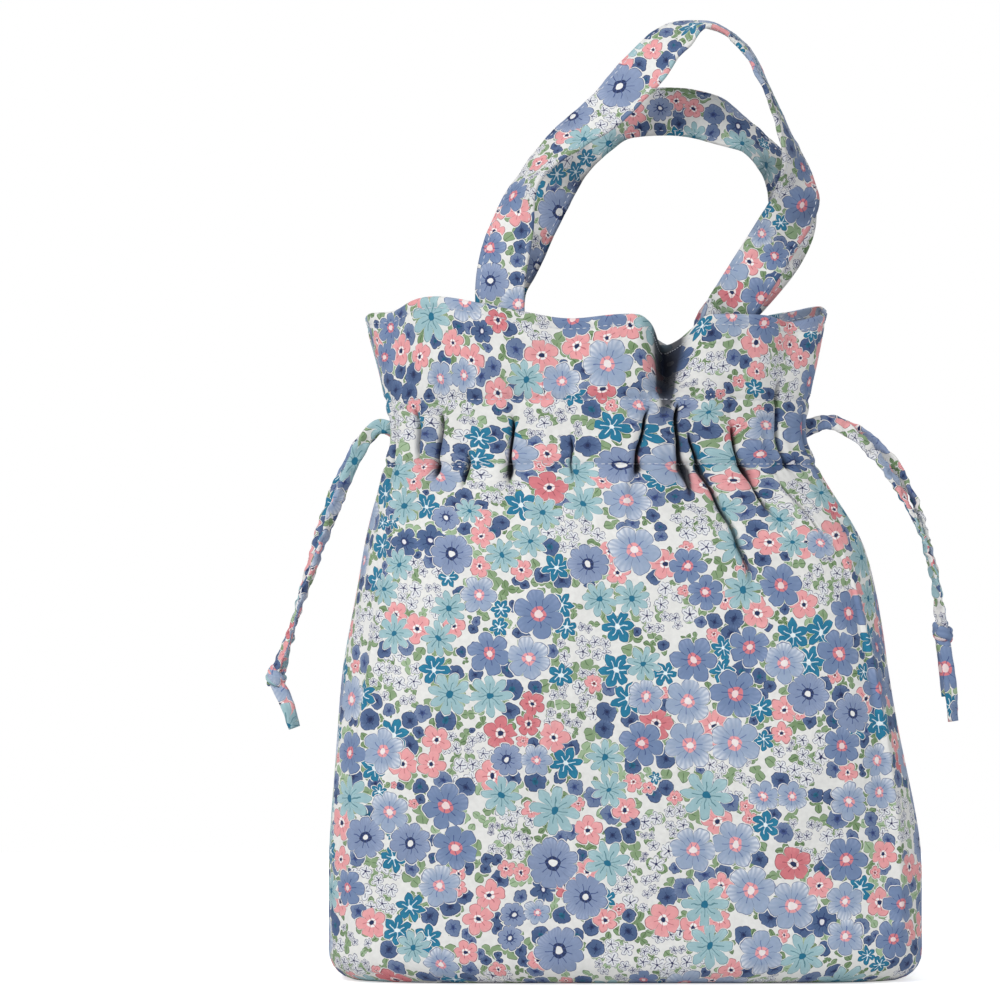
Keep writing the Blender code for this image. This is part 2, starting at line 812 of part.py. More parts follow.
def drawstring_route(side, strand):
    """From the knot up one strand, round the channel and back down the other strand."""
    leading = [tuple(point) for point in leading_route(side, strand)]
    points, _ = channel_ring()
    end = 0 if side > 0 else TUNNEL_STEPS // 2
    steps = range(TURN_OFF_STEPS + 1, TUNNEL_STEPS - TURN_OFF_STEPS)
    inside = [points[(end + side * step) % TUNNEL_STEPS] for step in steps]
    level = lane_level(side)
    around = [(point[0], point[1], level) for point in inside]
    trailing = [(x, -y, z) for x, y, z in reversed(leading)]
    return [*leading, *around, *trailing]


def make_drawstring(name, side, strand, material):
    points = drawstring_route(side, strand)
    curve = bpy.data.curves.new(name, "CURVE")
    curve.dimensions = "3D"
    curve.bevel_depth = CORD_DIAMETER / 2
    curve.bevel_resolution = 2
    curve.use_fill_caps = True
    spline = curve.splines.new("POLY")
    spline.points.add(len(points) - 1)
    for place, point in zip(spline.points, points):
        place.co = (*point, 1.0)
    curve.materials.append(material)
    thing = bpy.data.objects.new(name, curve)
    bpy.context.scene.collection.objects.link(thing)
    return thing


def knot_lump(mesh, centre, down):
    """The tied knot: a round lump with a wrap lying across it."""
    along = np.array(down)
    side = np.cross(along, (0.0, 1.0, 0.0))
    side = side / np.linalg.norm(side)
    forward = np.cross(along, side)
    rows = []
    for ring in range(1, KNOT_RINGS):
        tilt = math.pi * ring / KNOT_RINGS
        row = []
        for step in range(KNOT_SIDES):
            turn = 2.0 * math.pi * step / KNOT_SIDES
            wrap = 1.0 + KNOT_WRAP * math.sin(2.0 * turn + 3.0 * tilt)
            reach = KNOT_WIDTH / 2 * math.sin(tilt) * wrap
            drop = -KNOT_HEIGHT / 2 * math.cos(tilt)
            offset = side * math.cos(turn) + forward * math.sin(turn)
            row.append(np.array(centre) + offset * reach + along * drop)
        rows.append(row)
    verts = sweep(mesh, rows)
    close_row(mesh, verts[0], upward=True)
    close_row(mesh, verts[-1], upward=False)


def join_by_union(thing, name, mesh):
    other = bpy.data.objects.new(name, mesh)
    bpy.context.scene.collection.objects.link(other)
    other.hide_render = True
    other.display_type = "WIRE"
    union = thing.modifiers.new(name, "BOOLEAN")
    union.operation = "UNION"
    union.solver = "EXACT"
    union.object = other


def make_knot(name, side, strand, tail_length, tail_lean, material):
    """A knot just below the strand's end, with two tails that fall from it."""
    last_x, last_z = strand_place(side, strand[-1])
    before_x, before_z = strand_place(side, strand[-2])
    last = np.array((last_x, 0.0, last_z))
    before = np.array((before_x, 0.0, before_z))
    down = (last - before) / np.linalg.norm(last - before)
    lump_top = KNOT_HEIGHT / 2 * math.cos(math.pi / KNOT_RINGS)
    centre = last + down * (lump_top + SEAT_GAP)
    mesh = bmesh.new()
    knot_lump(mesh, centre, down)
    knot = add_object(name, finish_mesh(name, mesh), material)
    for index, hand in enumerate((-1.0, 1.0)):
        half_length = tail_length * TAIL_LENGTHS[index] / 2
        curl = np.array((tail_lean * TAIL_FOLLOW, hand * TAIL_CURL, 0.0))
        straight = np.array((tail_lean, hand * TAIL_SPLAY, -1.0))
        sideways = hand * KNOT_WIDTH * TAIL_ROOT[0]
        root = centre + np.array((0.0, sideways, -KNOT_HEIGHT * TAIL_ROOT[1]))
        middle = root + (straight + curl) * half_length
        end = middle + (straight - curl / 2) * half_length
        path = spline_points([root, middle, end], TAIL_DIAMETER)
        rows = round_rows(path, TAIL_DIAMETER / 2, TAIL_FLATNESS)
        join_by_union(knot, f"{name}_tail_{index + 1}", capped_tube(f"{name}_tail", rows))
    return knot


def make_bag():
    remove_everything()
    cotton = cloth_material("printed_cotton", PRINTED_COTTON)
    tape = cloth_material("printed_tape", PRINTED_TAPE)
    make_bag_body(cotton)
    make_handle("front_handle", FRONT_HANDLE_ROUTE, front_share, 1, cotton)
    make_handle("back_handle", BACK_HANDLE_ROUTE, back_share, -1, cotton)
    make_drawstring("left_drawstring", -1, LEFT_STRAND, tape)
    make_drawstring("right_drawstring", 1, RIGHT_STRAND, tape)
    make_knot("left_knot", -1, LEFT_STRAND, LEFT_TAIL, LEFT_TAIL_LEAN, tape)
    make_knot("right_knot", 1, RIGHT_STRAND, RIGHT_TAIL, RIGHT_TAIL_LEAN, tape)


make_bag()
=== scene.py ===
# %% [markdown]
# # A drawstring tote bag in printed cotton
#
# The bag is one sewn shell of flowered cotton. It stands on a boxed base, its
# neck is gathered on two tape drawstrings, and a free ruffle stands above the
# gathers with two cloth handles sewn inside it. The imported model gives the
# sizes and the places. This lesson dresses it: camera, cords, cloth, handles,
# knots, stitches, floor and light.

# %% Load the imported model
import math

import bpy
import numpy as np
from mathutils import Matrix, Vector, noise


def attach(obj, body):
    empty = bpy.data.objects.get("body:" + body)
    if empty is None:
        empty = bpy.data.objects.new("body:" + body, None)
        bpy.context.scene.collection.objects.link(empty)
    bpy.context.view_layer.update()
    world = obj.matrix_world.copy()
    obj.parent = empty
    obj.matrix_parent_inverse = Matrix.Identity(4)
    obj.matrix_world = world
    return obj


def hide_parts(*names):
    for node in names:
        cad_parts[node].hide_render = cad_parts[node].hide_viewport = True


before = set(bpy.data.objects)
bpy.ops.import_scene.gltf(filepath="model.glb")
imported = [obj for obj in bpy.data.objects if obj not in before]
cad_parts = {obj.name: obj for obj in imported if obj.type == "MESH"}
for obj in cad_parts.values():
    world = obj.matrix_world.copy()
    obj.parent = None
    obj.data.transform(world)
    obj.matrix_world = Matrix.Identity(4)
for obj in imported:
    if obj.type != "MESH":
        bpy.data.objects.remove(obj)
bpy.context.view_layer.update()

# %% [markdown]
# The camera comes first, because everything is judged through it. The bag was
# photographed straight from the front with a long lens, so the camera stands
# two metres away and looks along +Y. One pixel of the square frame is 0.412 mm
# at the front of the bag, and that sets the focal length.

# %% Place the camera
FRAME_PIXELS = 1000
PIXEL_SIZE = 0.000412
FRAME_MIDDLE = (-0.0523, 0.1998)
FRONT_PLANE = -0.045
CAMERA_DISTANCE = 2.0


def placed(name, data):
    """Puts a camera, a lamp or a mesh into the scene as an object."""
    thing = bpy.data.objects.new(name, data)
    bpy.context.scene.collection.objects.link(thing)
    return thing


camera_data = bpy.data.cameras.new("camera")
camera_data.sensor_width = 36.0
camera_data.lens = camera_data.sensor_width * CAMERA_DISTANCE / (FRAME_PIXELS * PIXEL_SIZE)
camera = placed("camera", camera_data)
camera.location = (FRAME_MIDDLE[0], FRONT_PLANE - CAMERA_DISTANCE, FRAME_MIDDLE[1])
camera.rotation_euler = (math.radians(90.0), 0.0, 0.0)
bpy.context.scene.camera = camera
print("lens:", round(camera_data.lens, 1), "mm")

# %% [markdown]
# The shape of the bag follows a few levels: how wide and deep the cloth is at
# the base, the belly, the shoulder, the neck and the hem. A smooth curve joins
# them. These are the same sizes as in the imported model, so that the dressed
# bag fits over its solids.

# %% Sizes of the bag
LEVELS = (0.0, 0.040, 0.117, 0.175, 0.228, 0.276)
WIDTHS = (0.248, 0.248, 0.230, 0.211, 0.177, 0.195)
DEPTHS = (0.100, 0.100, 0.106, 0.098, 0.076, 0.086)
SHIFTS = (0.0, 0.0, -0.003, -0.0045, -0.011, -0.012)
SQUARENESS = (5.0, 5.0, 4.2, 3.2, 2.5, 2.4)
BELLY_LEVEL = LEVELS[2]
NECK_LEVEL = LEVELS[4]
HEM_LEVEL = LEVELS[5]
CHANNEL_LOW = NECK_LEVEL - 0.0135
CHANNEL_HIGH = NECK_LEVEL + 0.0135
HEM_SEAM = HEM_LEVEL - 0.0040
NECK_GIRTH = 0.45
BASE_EDGE_RADIUS = 0.012


def smooth_step(low, high, value):
    """0 below the low value, 1 above the high one, and a soft ramp between."""
    share = np.clip((value - low) / (high - low), 0.0, 1.0)
    return share * share * (3.0 - 2.0 * share)


def bell(away, width, power=2):
    """1 at the middle, fading to 0 on both sides within about twice the width."""
    return np.exp(-((away / width) ** power))


def curve_through(values, at):
    """A smooth curve through the values at the bag's levels that never overshoots."""
    steps = np.diff(LEVELS)
    slopes = np.diff(values) / steps
    tangents = np.concatenate(([slopes[0]], np.zeros(len(slopes) - 1), [slopes[-1]]))
    for index in range(1, len(slopes)):
        before, after = slopes[index - 1], slopes[index]
        if before * after > 0.0:
            tangents[index] = 2.0 * before * after / (before + after)
    cell = int(np.clip(np.searchsorted(LEVELS, at, side="right") - 1, 0, len(steps) - 1))
    share = (at - LEVELS[cell]) / steps[cell]
    rest = 1.0 - share
    straight = (1 + 2 * share) * rest ** 2 * values[cell] + share ** 2 * (3 - 2 * share) * values[cell + 1]
    return straight + share * rest * steps[cell] * (rest * tangents[cell] - share * tangents[cell + 1])


def plan_at(height):
    """Half width, half depth, sideways shift and squareness of the bag at one height."""
    width = curve_through(WIDTHS, height)
    depth = curve_through(DEPTHS, height)
    return width / 2, depth / 2, curve_through(SHIFTS, height), curve_through(SQUARENESS, height)


neck_sizes = [round(1000 * float(size), 1) for size in plan_at(NECK_LEVEL)[:3]]
print("half width, half depth and shift of the neck:", neck_sizes, "mm")

# %% [markdown]
# Each drawstring is a soft printed tape that leaves the channel at a side seam
# as two strands, falls beside the bag and ends in a knot. A tape is a tube with
# a flat section: a round tube would look like rope. The two strands of a side
# lie side by side, cross over a little and twist slowly as they hang.

# %% Routes of the free strands
TAPE_WIDTH = 0.0060
TAPE_THICKNESS = 0.0024
EXIT_SPREAD = 0.0052
EXIT_STEP = 0.001
STRAND_SPREAD = 0.0030
STRAND_SWAY = 0.0008
STRAND_PARTING = {-1: 0.0006, 1: 0.0024}
STRAND_STEP = 0.0009
KNOT_ENTRY = 0.0065
KNOT_SPREAD = 0.0008
EYELET_DEPTH = 0.0060
LEFT_STRAND = (
    (0.0040, 0.0025), (0.0115, -0.0055), (0.0180, -0.0180), (0.0250, -0.0350),
    (0.0311, -0.0529), (0.0367, -0.0700), (0.0414, -0.0859), (0.0448, -0.0962),
)
RIGHT_STRAND = (
    (0.0075, 0.0045), (0.0185, 0.0010), (0.0290, -0.0075), (0.0370, -0.0179),
    (0.0440, -0.0310), (0.0494, -0.0447), (0.0535, -0.0611), (0.0556, -0.0770),
)


def running_lengths(points):
    """How far along a line each of its points lies."""
    return np.concatenate(([0.0], np.cumsum(np.linalg.norm(np.diff(points, axis=0), axis=1))))


def spline_points(points, spacing):
    """Even points along a smooth curve. Length is measured on the first three columns."""
    knots = np.array(points, float)
    padded = np.vstack((2 * knots[0] - knots[1], knots, 2 * knots[-1] - knots[-2]))
    curve = []
    for index in range(1, len(padded) - 2):
        before, start, end, after = padded[index - 1:index + 3]
        for share in np.linspace(0.0, 1.0, 16, endpoint=False):
            rest = 1.0 - share
            point = (1 + 2 * share) * rest ** 2 * start + share ** 2 * (3 - 2 * share) * end
            curve.append(point + share * rest * (rest * (end - before) - share * (after - start)) / 2)
    curve = np.array([*curve, knots[-1]])
    lengths = running_lengths(curve[:, :3])
    places = np.linspace(0.0, lengths[-1], max(2, round(lengths[-1] / spacing)) + 1)
    return np.column_stack([np.interp(places, lengths, column) for column in curve.T])


def strand_route(side, strand, lane):
    """One strand from inside the channel, out at the side seam and down to the knot."""
    half_width, _, shift, _ = plan_at(NECK_LEVEL)
    seam = shift + side * half_width
    route = [(seam - side * EYELET_DEPTH, lane * EXIT_SPREAD, NECK_LEVEL - EXIT_STEP * lane)]
    for index, (outward, rise) in enumerate(strand):
        share = index / (len(strand) - 1)
        parting = STRAND_PARTING[side] * math.sin(math.pi * share)
        sway = lane * (STRAND_SWAY * math.sin(5.5 * share + 0.6 * side) + parting)
        spread = STRAND_SPREAD * (1.0 - 0.55 * share ** 3)
        route.append((seam + side * (outward + sway), lane * spread, NECK_LEVEL + rise))
    down = np.array(route[-1]) - np.array(route[-2])
    down = down * (KNOT_ENTRY / np.linalg.norm(down))
    route.append((route[-1][0] + down[0], lane * KNOT_SPREAD, route[-1][2] + down[2]))
    return spline_points(route, STRAND_STEP)


strand_paths = {
    (name, lane): strand_route(side, strand, lane)
    for name, side, strand in (("left", -1, LEFT_STRAND), ("right", 1, RIGHT_STRAND))
    for lane in (-1, 1)
}
for key, path in strand_paths.items():
    print("strand", key, round(1000 * running_lengths(path)[-1], 1), "mm")

# %% [markdown]
# A mesh that is swept along a path needs a frame at each point: which way is
# across and which way is out. A curve with a bevel could do it, but its frame
# can't be told which way to face. Carrying the frame from one point to the next
# keeps it from spinning. The same helpers make the strands, the tails, the
# knots and the handles, and write a UV map in metres, so that the print keeps
# its real size. Real tape puckers: its faces ripple and its width goes up and
# down a little, less so near its ends.

# %% Sweep a flat tape along a path
def carried_frames(path, first_out):
    """Tangents, outs and acrosses along a path, carried from point to point without spin."""
    tangents = np.gradient(path, axis=0)
    tangents /= np.linalg.norm(tangents, axis=1, keepdims=True)
    outs = []
    out = np.array(first_out, float)
    for tangent in tangents:
        out = out - tangent * np.dot(out, tangent)
        out = out / np.linalg.norm(out)
        outs.append(out)
    outs = np.array(outs)
    return tangents, outs, np.cross(tangents, outs)


def tape_section(width, thickness, sides=20):
    """A flat closed section with round edges and a shallow hollow down its middle."""
    turns = 2.0 * math.pi * np.arange(sides) / sides
    across = np.sign(np.cos(turns)) * np.abs(np.cos(turns)) ** 0.75 * width / 2
    out = np.sin(turns) * thickness / 2 * (1.0 - 0.35 * bell(across, 0.16 * width))
    return across, out


def tube_faces(lengths, around, order=1):
    """Quads and end caps of a tube, with each corner's place on the flat cloth. Order turns them over."""
    rows, count = len(lengths), len(around) - 1
    quad = ((0, 0), (1, 0), (1, 1), (0, 1)) if order > 0 else ((0, 0), (0, 1), (1, 1), (1, 0))
    faces, places = [], []
    for row in range(rows - 1):
        for step in range(count):
            faces.append([(row + up) * count + (step + right) % count for up, right in quad])
            places += [(lengths[row + up], around[step + right]) for up, right in quad]
    for row, way in ((0, order), (rows - 1, -order)):
        faces.append([row * count + step for step in range(count)][::way])
        places += [(lengths[row], around[step]) for step in range(count)][::way]
    return faces, np.array(places)


def cloth_mesh(name, points, faces, places, shades=None, material=None):
    """A smooth mesh with its map of the flat cloth in metres and the painted shade of its folds."""
    mesh = bpy.data.meshes.new(name)
    mesh.from_pydata(points, [], faces)
    cloth_map = mesh.uv_layers.new(name="cloth")
    cloth_map.data.foreach_set("uv", np.array(places, np.float32).ravel())
    # Painted shade for each point, which the cloth's material mixes into its colour.
    if shades is not None:
        fold = mesh.attributes.new("fold", "FLOAT", "POINT")
        fold.data.foreach_set("value", np.array(shades, np.float32))
    if material is not None:
        mesh.materials.append(material)
    mesh.shade_smooth()
    return placed(name, mesh)


RIPPLE_PACE = (330.0, 260.0)
NARROWING_PACE = 190.0
NARROWING = 190.0
CALM_END = 0.004


def tape_mesh(name, path, first_out, width, thickness, twist=0.0, print_start=(0.0, 0.0),
              pucker=0.0, radial=None):
    """A closed flat tube along a path. Pucker is how far its faces ripple, in metres."""
    tangents, outs, sides = carried_frames(path, first_out)
    if radial is not None:
        outs, sides = radial, np.cross(tangents, radial)
    across, out = tape_section(width, thickness)
    lengths = running_lengths(path)
    turns = twist * lengths / lengths[-1]
    turned_out = outs * np.cos(turns)[:, None] + sides * np.sin(turns)[:, None]
    turned_side = sides * np.cos(turns)[:, None] - outs * np.sin(turns)[:, None]
    seed = print_start[0]
    ripples = np.array([
        [noise.noise(Vector((place * RIPPLE_PACE[0], reach * RIPPLE_PACE[1], 9.0 * seed)))
         for reach in across]
        for place in lengths
    ])
    narrow = np.array([noise.noise(Vector((place * NARROWING_PACE, 5.0, 7.0 * seed))) for place in lengths])
    calm = np.minimum(1.0, np.minimum(lengths, lengths[-1] - lengths) / CALM_END)[:, None, None]
    widening = NARROWING * pucker * calm * narrow[:, None, None]
    rings = path[:, None, :] + turned_side[:, None, :] * across[None, :, None]
    rings = rings + turned_out[:, None, :] * (out[None, :, None] + pucker * calm * ripples[:, :, None])
    rings = rings + turned_side[:, None, :] * across[None, :, None] * widening
    steps = np.hypot(np.diff(across, append=across[0]), np.diff(out, append=out[0]))
    faces, places = tube_faces(lengths, np.concatenate(([0.0], np.cumsum(steps))))
    return cloth_mesh(name, rings.reshape(-1, 3).tolist(), faces, places + np.array(print_start))


strands = {}
for number, ((name, lane), path) in enumerate(strand_paths.items()):
    label = f"{name}_strand_{'front' if lane < 0 else 'back'}"
    strands[name, lane] = tape_mesh(
        label, path, (0.0, -1.0, 0.0), TAPE_WIDTH, TAPE_THICKNESS,
        twist=2.2 * lane, print_start=(0.31 * number + 0.05, 0.11 * number), pucker=0.0012,
    )
    print(label, len(strands[name, lane].data.polygons), "faces")

# %% [markdown]
# Inside the channel each drawstring runs on round the neck, hidden between two
# layers of cloth. It is made as one plain loop of tape for each side, so that
# the strands don't end in nothing behind the seam.

# %% The hidden runs in the channel
CHANNEL_INSET = 0.0123
RUN_LIFT = 0.0029
RUN_SECTION = (0.0050, 0.0020)


def ring_at(half_width, half_depth, square, shares):
    """Points, outward normals and girth of a rounded plan. Shares run from the right seam by the back."""
    angles = np.linspace(0.0, 2.0 * math.pi, 1441)
    wide = np.abs(np.cos(angles) / half_width) ** square
    deep = np.abs(np.sin(angles) / half_depth) ** square
    radius = (wide + deep) ** (-1.0 / square)
    x, y = radius * np.cos(angles), radius * np.sin(angles)
    lengths = np.concatenate(([0.0], np.cumsum(np.hypot(np.diff(x), np.diff(y)))))
    perimeter = lengths[-1]
    places = np.mod(shares, 1.0) * perimeter
    step = perimeter / 720
    ahead, behind = np.mod(places + step, perimeter), np.mod(places - step, perimeter)
    run_x = np.interp(ahead, lengths, x) - np.interp(behind, lengths, x)
    run_y = np.interp(ahead, lengths, y) - np.interp(behind, lengths, y)
    size = np.hypot(run_x, run_y)
    points = np.column_stack((np.interp(places, lengths, x), np.interp(places, lengths, y)))
    return points, np.column_stack((run_y / size, -run_x / size)), perimeter


channel_runs = {}
for name, side in (("left", -1), ("right", 1)):
    half_width, half_depth, shift, square = plan_at(NECK_LEVEL)
    start = 0.0 if side > 0 else 0.5
    shares = start + np.linspace(0.03, 0.97, 90)
    points, _, _ = ring_at(half_width - CHANNEL_INSET, half_depth - CHANNEL_INSET, square, shares)
    level = NECK_LEVEL - side * RUN_LIFT
    path = np.column_stack((points[:, 0] + shift, points[:, 1], np.full(len(shares), level)))
    channel_runs[name] = tape_mesh(f"{name}_channel_run", path, (side, 0.0, 0.0), *RUN_SECTION)
    print(name, "run in the channel:", round(1000 * running_lengths(path)[-1]), "mm")

# %% [markdown]
# The cloth's look is a print, and a print is maths on a flat sheet. Shader
# nodes are easier to read as expressions, so a small class wraps one socket and
# turns plain operators into Math nodes. Every other node of the print comes
# from one method, which also writes the materials of the thread and the floor.

# %% Write shader maths as expressions
class Wire:
    """One output socket, which can be used in a formula."""

    def __init__(self, recipe, socket):
        self.recipe = recipe
        self.socket = socket

    def __add__(self, other):
        return self.recipe.maths("ADD", self, other)

    def __sub__(self, other):
        return self.recipe.maths("SUBTRACT", self, other)

    def __rsub__(self, other):
        return self.recipe.maths("SUBTRACT", other, self)

    def __mul__(self, other):
        return self.recipe.maths("MULTIPLY", self, other)

    def __truediv__(self, other):
        return self.recipe.maths("DIVIDE", self, other)

    def __pow__(self, other):
        return self.recipe.maths("POWER", self, other)

    def __abs__(self):
        return self.recipe.maths("ABSOLUTE", self)

    def __gt__(self, other):
        return self.recipe.maths("GREATER_THAN", self, other)

    def __lt__(self, other):
        return self.recipe.maths("LESS_THAN", self, other)

    __radd__ = __add__
    __rmul__ = __mul__


class Recipe:
    """A node tree that is written down step by step."""

    def __init__(self, tree):
        self.tree = tree
        self.tree.nodes.clear()

    def node(self, kind, settings=None, values=None):
        """Adds a node, makes its settings, then fills its sockets with numbers or wires."""
        made = self.tree.nodes.new(kind)
        for key, value in (settings or {}).items():
            if key == "stops":
                ramp = made.color_ramp
                while len(ramp.elements) < len(value):
                    ramp.elements.new(1.0)
                for element, (position, colour) in zip(ramp.elements, value):
                    element.position = position
                    element.color = colour
            elif key == "interpolation":
                made.color_ramp.interpolation = value
            else:
                setattr(made, key, value)
        for key, value in (values or {}).items():
            if isinstance(value, Wire):
                self.tree.links.new(value.socket, made.inputs[key])
            else:
                made.inputs[key].default_value = value
        return lambda outlet=0: Wire(self, made.outputs[outlet])

    def maths(self, operation, *terms):
        return self.node("ShaderNodeMath", {"operation": operation}, dict(enumerate(terms)))()

    def vector(self, operation, *terms):
        return self.node("ShaderNodeVectorMath", {"operation": operation}, dict(enumerate(terms)))()

    def scale(self, vector, amount):
        return self.node("ShaderNodeVectorMath", {"operation": "SCALE"}, {0: vector, "Scale": amount})()

    def distance(self, first, second):
        return self.node("ShaderNodeVectorMath", {"operation": "DISTANCE"}, {0: first, 1: second})(1)

    def mix(self, factor, first, second):
        values = {0: factor, 6: first, 7: second}
        return self.node("ShaderNodeMix", {"data_type": "RGBA"}, values)(2)

    def parts(self, colour):
        split = self.node("ShaderNodeSeparateColor", None, {0: colour})
        return split(0), split(1), split(2)


def new_material(name):
    """A material and the recipe of its node tree."""
    material = bpy.data.materials.new(name)
    material.use_nodes = True
    return material, Recipe(material.node_tree)


print("maths helper ready")

# %% [markdown]
# The print is a dense scatter of small flowers on an off-white ground. They lie
# side by side and hardly ever overlap, big ones first, then smaller ones in the
# gaps, then buds, with leaves tucked under all of them and clumps of tiny white
# florets here and there. A Voronoi texture gives the places: it drops one point
# in each cell of a loose grid and says how much room there is round it. A
# smaller flower also asks how far the bigger ones reach, and shrinks or stays
# away. Round each point the flower is drawn in polar form: its edge swings in
# and out with the angle, once for each petal. A table lists the kinds of
# flower, and a random number for each point picks a row.

# %% The kinds of flower
def paint(code):
    """A colour written as six hex digits, turned into the linear values that shaders use."""
    values = []
    for start in (0, 2, 4):
        value = int(code[start:start + 2], 16) / 255
        values.append(value / 12.92 if value <= 0.04045 else ((value + 0.055) / 1.055) ** 2.4)
    return (*values, 1.0)


GROUND = paint("ECEBE7")
KIND_COLUMNS = ("share", "shape", "petal", "tip", "ring", "eye", "vein", "outline")
# A shape is the number of petals, their roundness, how wide the waist between
# them is as a share of the flower, and 1 for pointed petals
BIG_FLOWERS = (
    (0.32, (6, 0.38, 0.58, 0.0), "9AABC5", "EEF0F4", "F0A2A5", "F7ECEA", "6679A8", "4F5F8A"),
    (0.16, (6, 0.40, 0.54, 0.0), "7489AD", "96A6C6", "DF8188", "F5DEDC", "45578A", "374876"),
    (0.34, (8, 0.46, 0.28, 0.3), "9FC1C7", "B7D4D8", "9FC1C7", "22718F", "55848F", "4D7C88"),
    (0.18, (9, 0.30, 0.70, 0.0), "8797B7", "A9B5D0", "2C3A63", "F2F1EE", "45578A", "34446F"),
)
MIDDLE_FLOWERS = (
    (0.46, (5, 0.36, 0.46, 0.0), "EEA4A6", "F3B5B5", "FAF5F3", "27335A", "C9757D", "93505A"),
    (0.10, (5, 0.36, 0.46, 0.0), "D77C83", "E4979A", "F7EBE8", "27335A", "A9545E", "7E3D48"),
    (0.34, (6, 0.44, 0.36, 1.0), "23789A", "3590AE", "23789A", "E9F3F5", "E3F0F3", "155871"),
    (0.10, (6, 0.40, 0.54, 0.0), "4C648B", "6D82AF", "2E3E6C", "E8E6EA", "2E3E6C", "26345F"),
)
BUDS = (
    (0.46, (4, 0.24, 0.80, 0.0), "4D638A", "7388AE", "33446F", "232F55", "35456F", "26335A"),
    (0.24, (5, 0.28, 0.76, 0.0), "6A7D9F", "90A0C2", "44568A", "303F6B", "44568A", "36466F"),
    (0.20, (3, 0.26, 0.74, 0.0), "485F87", "647CA8", "236B88", "1C5670", "33446F", "26335A"),
    (0.10, (5, 0.36, 0.46, 0.0), "EEA4A6", "F3B5B5", "FAF5F3", "7A3B48", "C9757D", "93505A"),
)
LEAVES = (
    (0.50, (2, 0.46, 0.05, 1.0), "8CA57E", "A4BC97", "8CA57E", "8CA57E", "5B7851", "4F6A47"),
    (0.25, (3, 0.48, 0.06, 1.0), "7C976D", "94B085", "7C976D", "7C976D", "506C46", "46603D"),
    (0.25, (2, 0.44, 0.05, 1.0), "A2BB96", "B5CBAA", "A2BB96", "A2BB96", "6F8C66", "5F7B56"),
)
FLORETS = (
    (1.00, (5, 0.42, 0.40, 0.0), "E9EAEC", "EEEEEF", "E9EAEC", "2F3359", "4C4F76", "4F5274"),
)
print("kinds of flower:", sum(map(len, (BIG_FLOWERS, MIDDLE_FLOWERS, BUDS, LEAVES, FLORETS))))

# %% [markdown]
# Each layer of flowers has its own grid of places. Random places alone would
# leave holes and heaps, so the grid is only loosened. Florets grow in clumps,
# and the coloured flowers keep off the clumps.

# %% Strew the places of the flowers
CLUMP_CELL = 0.056
CLUMP_REACH = 0.0138


def clump_distance(recipe, place):
    """How far a place is from the middle of the nearest clump of florets."""
    moved = recipe.vector("ADD", place, (0.310, 0.170, 0.0))
    values = {"Vector": moved, "Scale": 1.0 / CLUMP_CELL, "Randomness": 0.85}
    return recipe.node("ShaderNodeTexVoronoi", {"voronoi_dimensions": "2D"}, values)("Distance") * CLUMP_CELL


class Strewn:
    """Points strewn over the cloth, each the middle of a round place."""

    def __init__(self, cell, looseness, offset, size, largest, in_clumps=None, under=()):
        self.cell = cell
        self.looseness = looseness
        self.offset = offset
        self.size = size
        self.largest = largest
        self.in_clumps = in_clumps
        self.under = under

    def look(self, recipe, place):
        """The nearest middle, the radius of its round place, and its random numbers."""
        moved = recipe.vector("ADD", place, (*self.offset, 0.0))
        values = {"Vector": moved, "Scale": 1.0 / self.cell, "Randomness": self.looseness}
        nearest = recipe.node("ShaderNodeTexVoronoi", {"voronoi_dimensions": "2D", "feature": "F1"}, values)
        kind = {"voronoi_dimensions": "2D", "feature": "N_SPHERE_RADIUS"}
        around = recipe.node("ShaderNodeTexVoronoi", kind, values)
        middle = recipe.vector("SUBTRACT", nearest("Position"), (*self.offset, 0.0))
        radius = recipe.maths("MINIMUM", around("Radius") * (self.cell * self.size), self.largest)
        if self.in_clumps is not None:
            within = clump_distance(recipe, middle) < CLUMP_REACH
            radius = radius * (within if self.in_clumps else 1.0 - within)
        for bigger, share in self.under:
            other, reach, _ = bigger.look(recipe, middle)
            radius = radius * (recipe.distance(middle, other) > reach * share)
        return middle, radius, recipe.parts(nearest("Color"))


BIG_PLACES = Strewn(0.0238, 0.62, (0.770, 0.290), 1.12, 0.0122, False)
MIDDLE_PLACES = Strewn(0.0154, 0.72, (1.430, 1.170), 1.18, 0.0092, False, ((BIG_PLACES, 0.90),))
BUD_PLACES = Strewn(0.0088, 0.74, (0.210, 0.530), 1.22, 0.0054, False,
                    ((BIG_PLACES, 0.92), (MIDDLE_PLACES, 0.92)))
LEAF_PLACES = Strewn(0.0084, 0.85, (0.090, 0.910), 1.46, 0.0068)
FLORET_PLACES = Strewn(0.0066, 0.66, (0.013, 0.007), 1.20, 0.0042, True)
print("layers of the print: 5, in cells of", BIG_PLACES.cell * 1000, "to", FLORET_PLACES.cell * 1000, "mm")

# %% [markdown]
# One function draws any of the layers. It could be one texture for each kind of
# flower, but then each would need its own nodes. Here a kind is only a row of
# the table: petals, waist and colours are picked by number. Flowers of one kind
# flock together, as they would in a garden. A thin halo of bare ground parts
# each flower from what lies under it.

# %% Draw one layer of flowers
RING_REACH = 0.29
EYE_REACH = 0.15
LINE = 0.00034
HALO = 0.00042
VEIN = 0.00020
STRAYS = 0.60


def chooser(recipe, number, kinds, column):
    """A stepped ramp that turns a random number into one column of the table."""
    stops = []
    reached = 0.0
    for kind in kinds:
        value = kind[KIND_COLUMNS.index(column)]
        if column == "shape":
            petals, roundness, waist, pointed = value
            stops.append((reached, (petals / 10, roundness, waist, pointed)))
        else:
            stops.append((reached, paint(value)))
        reached += kind[0]
    return recipe.node("ShaderNodeValToRGB", {"interpolation": "CONSTANT", "stops": stops}, {0: number})


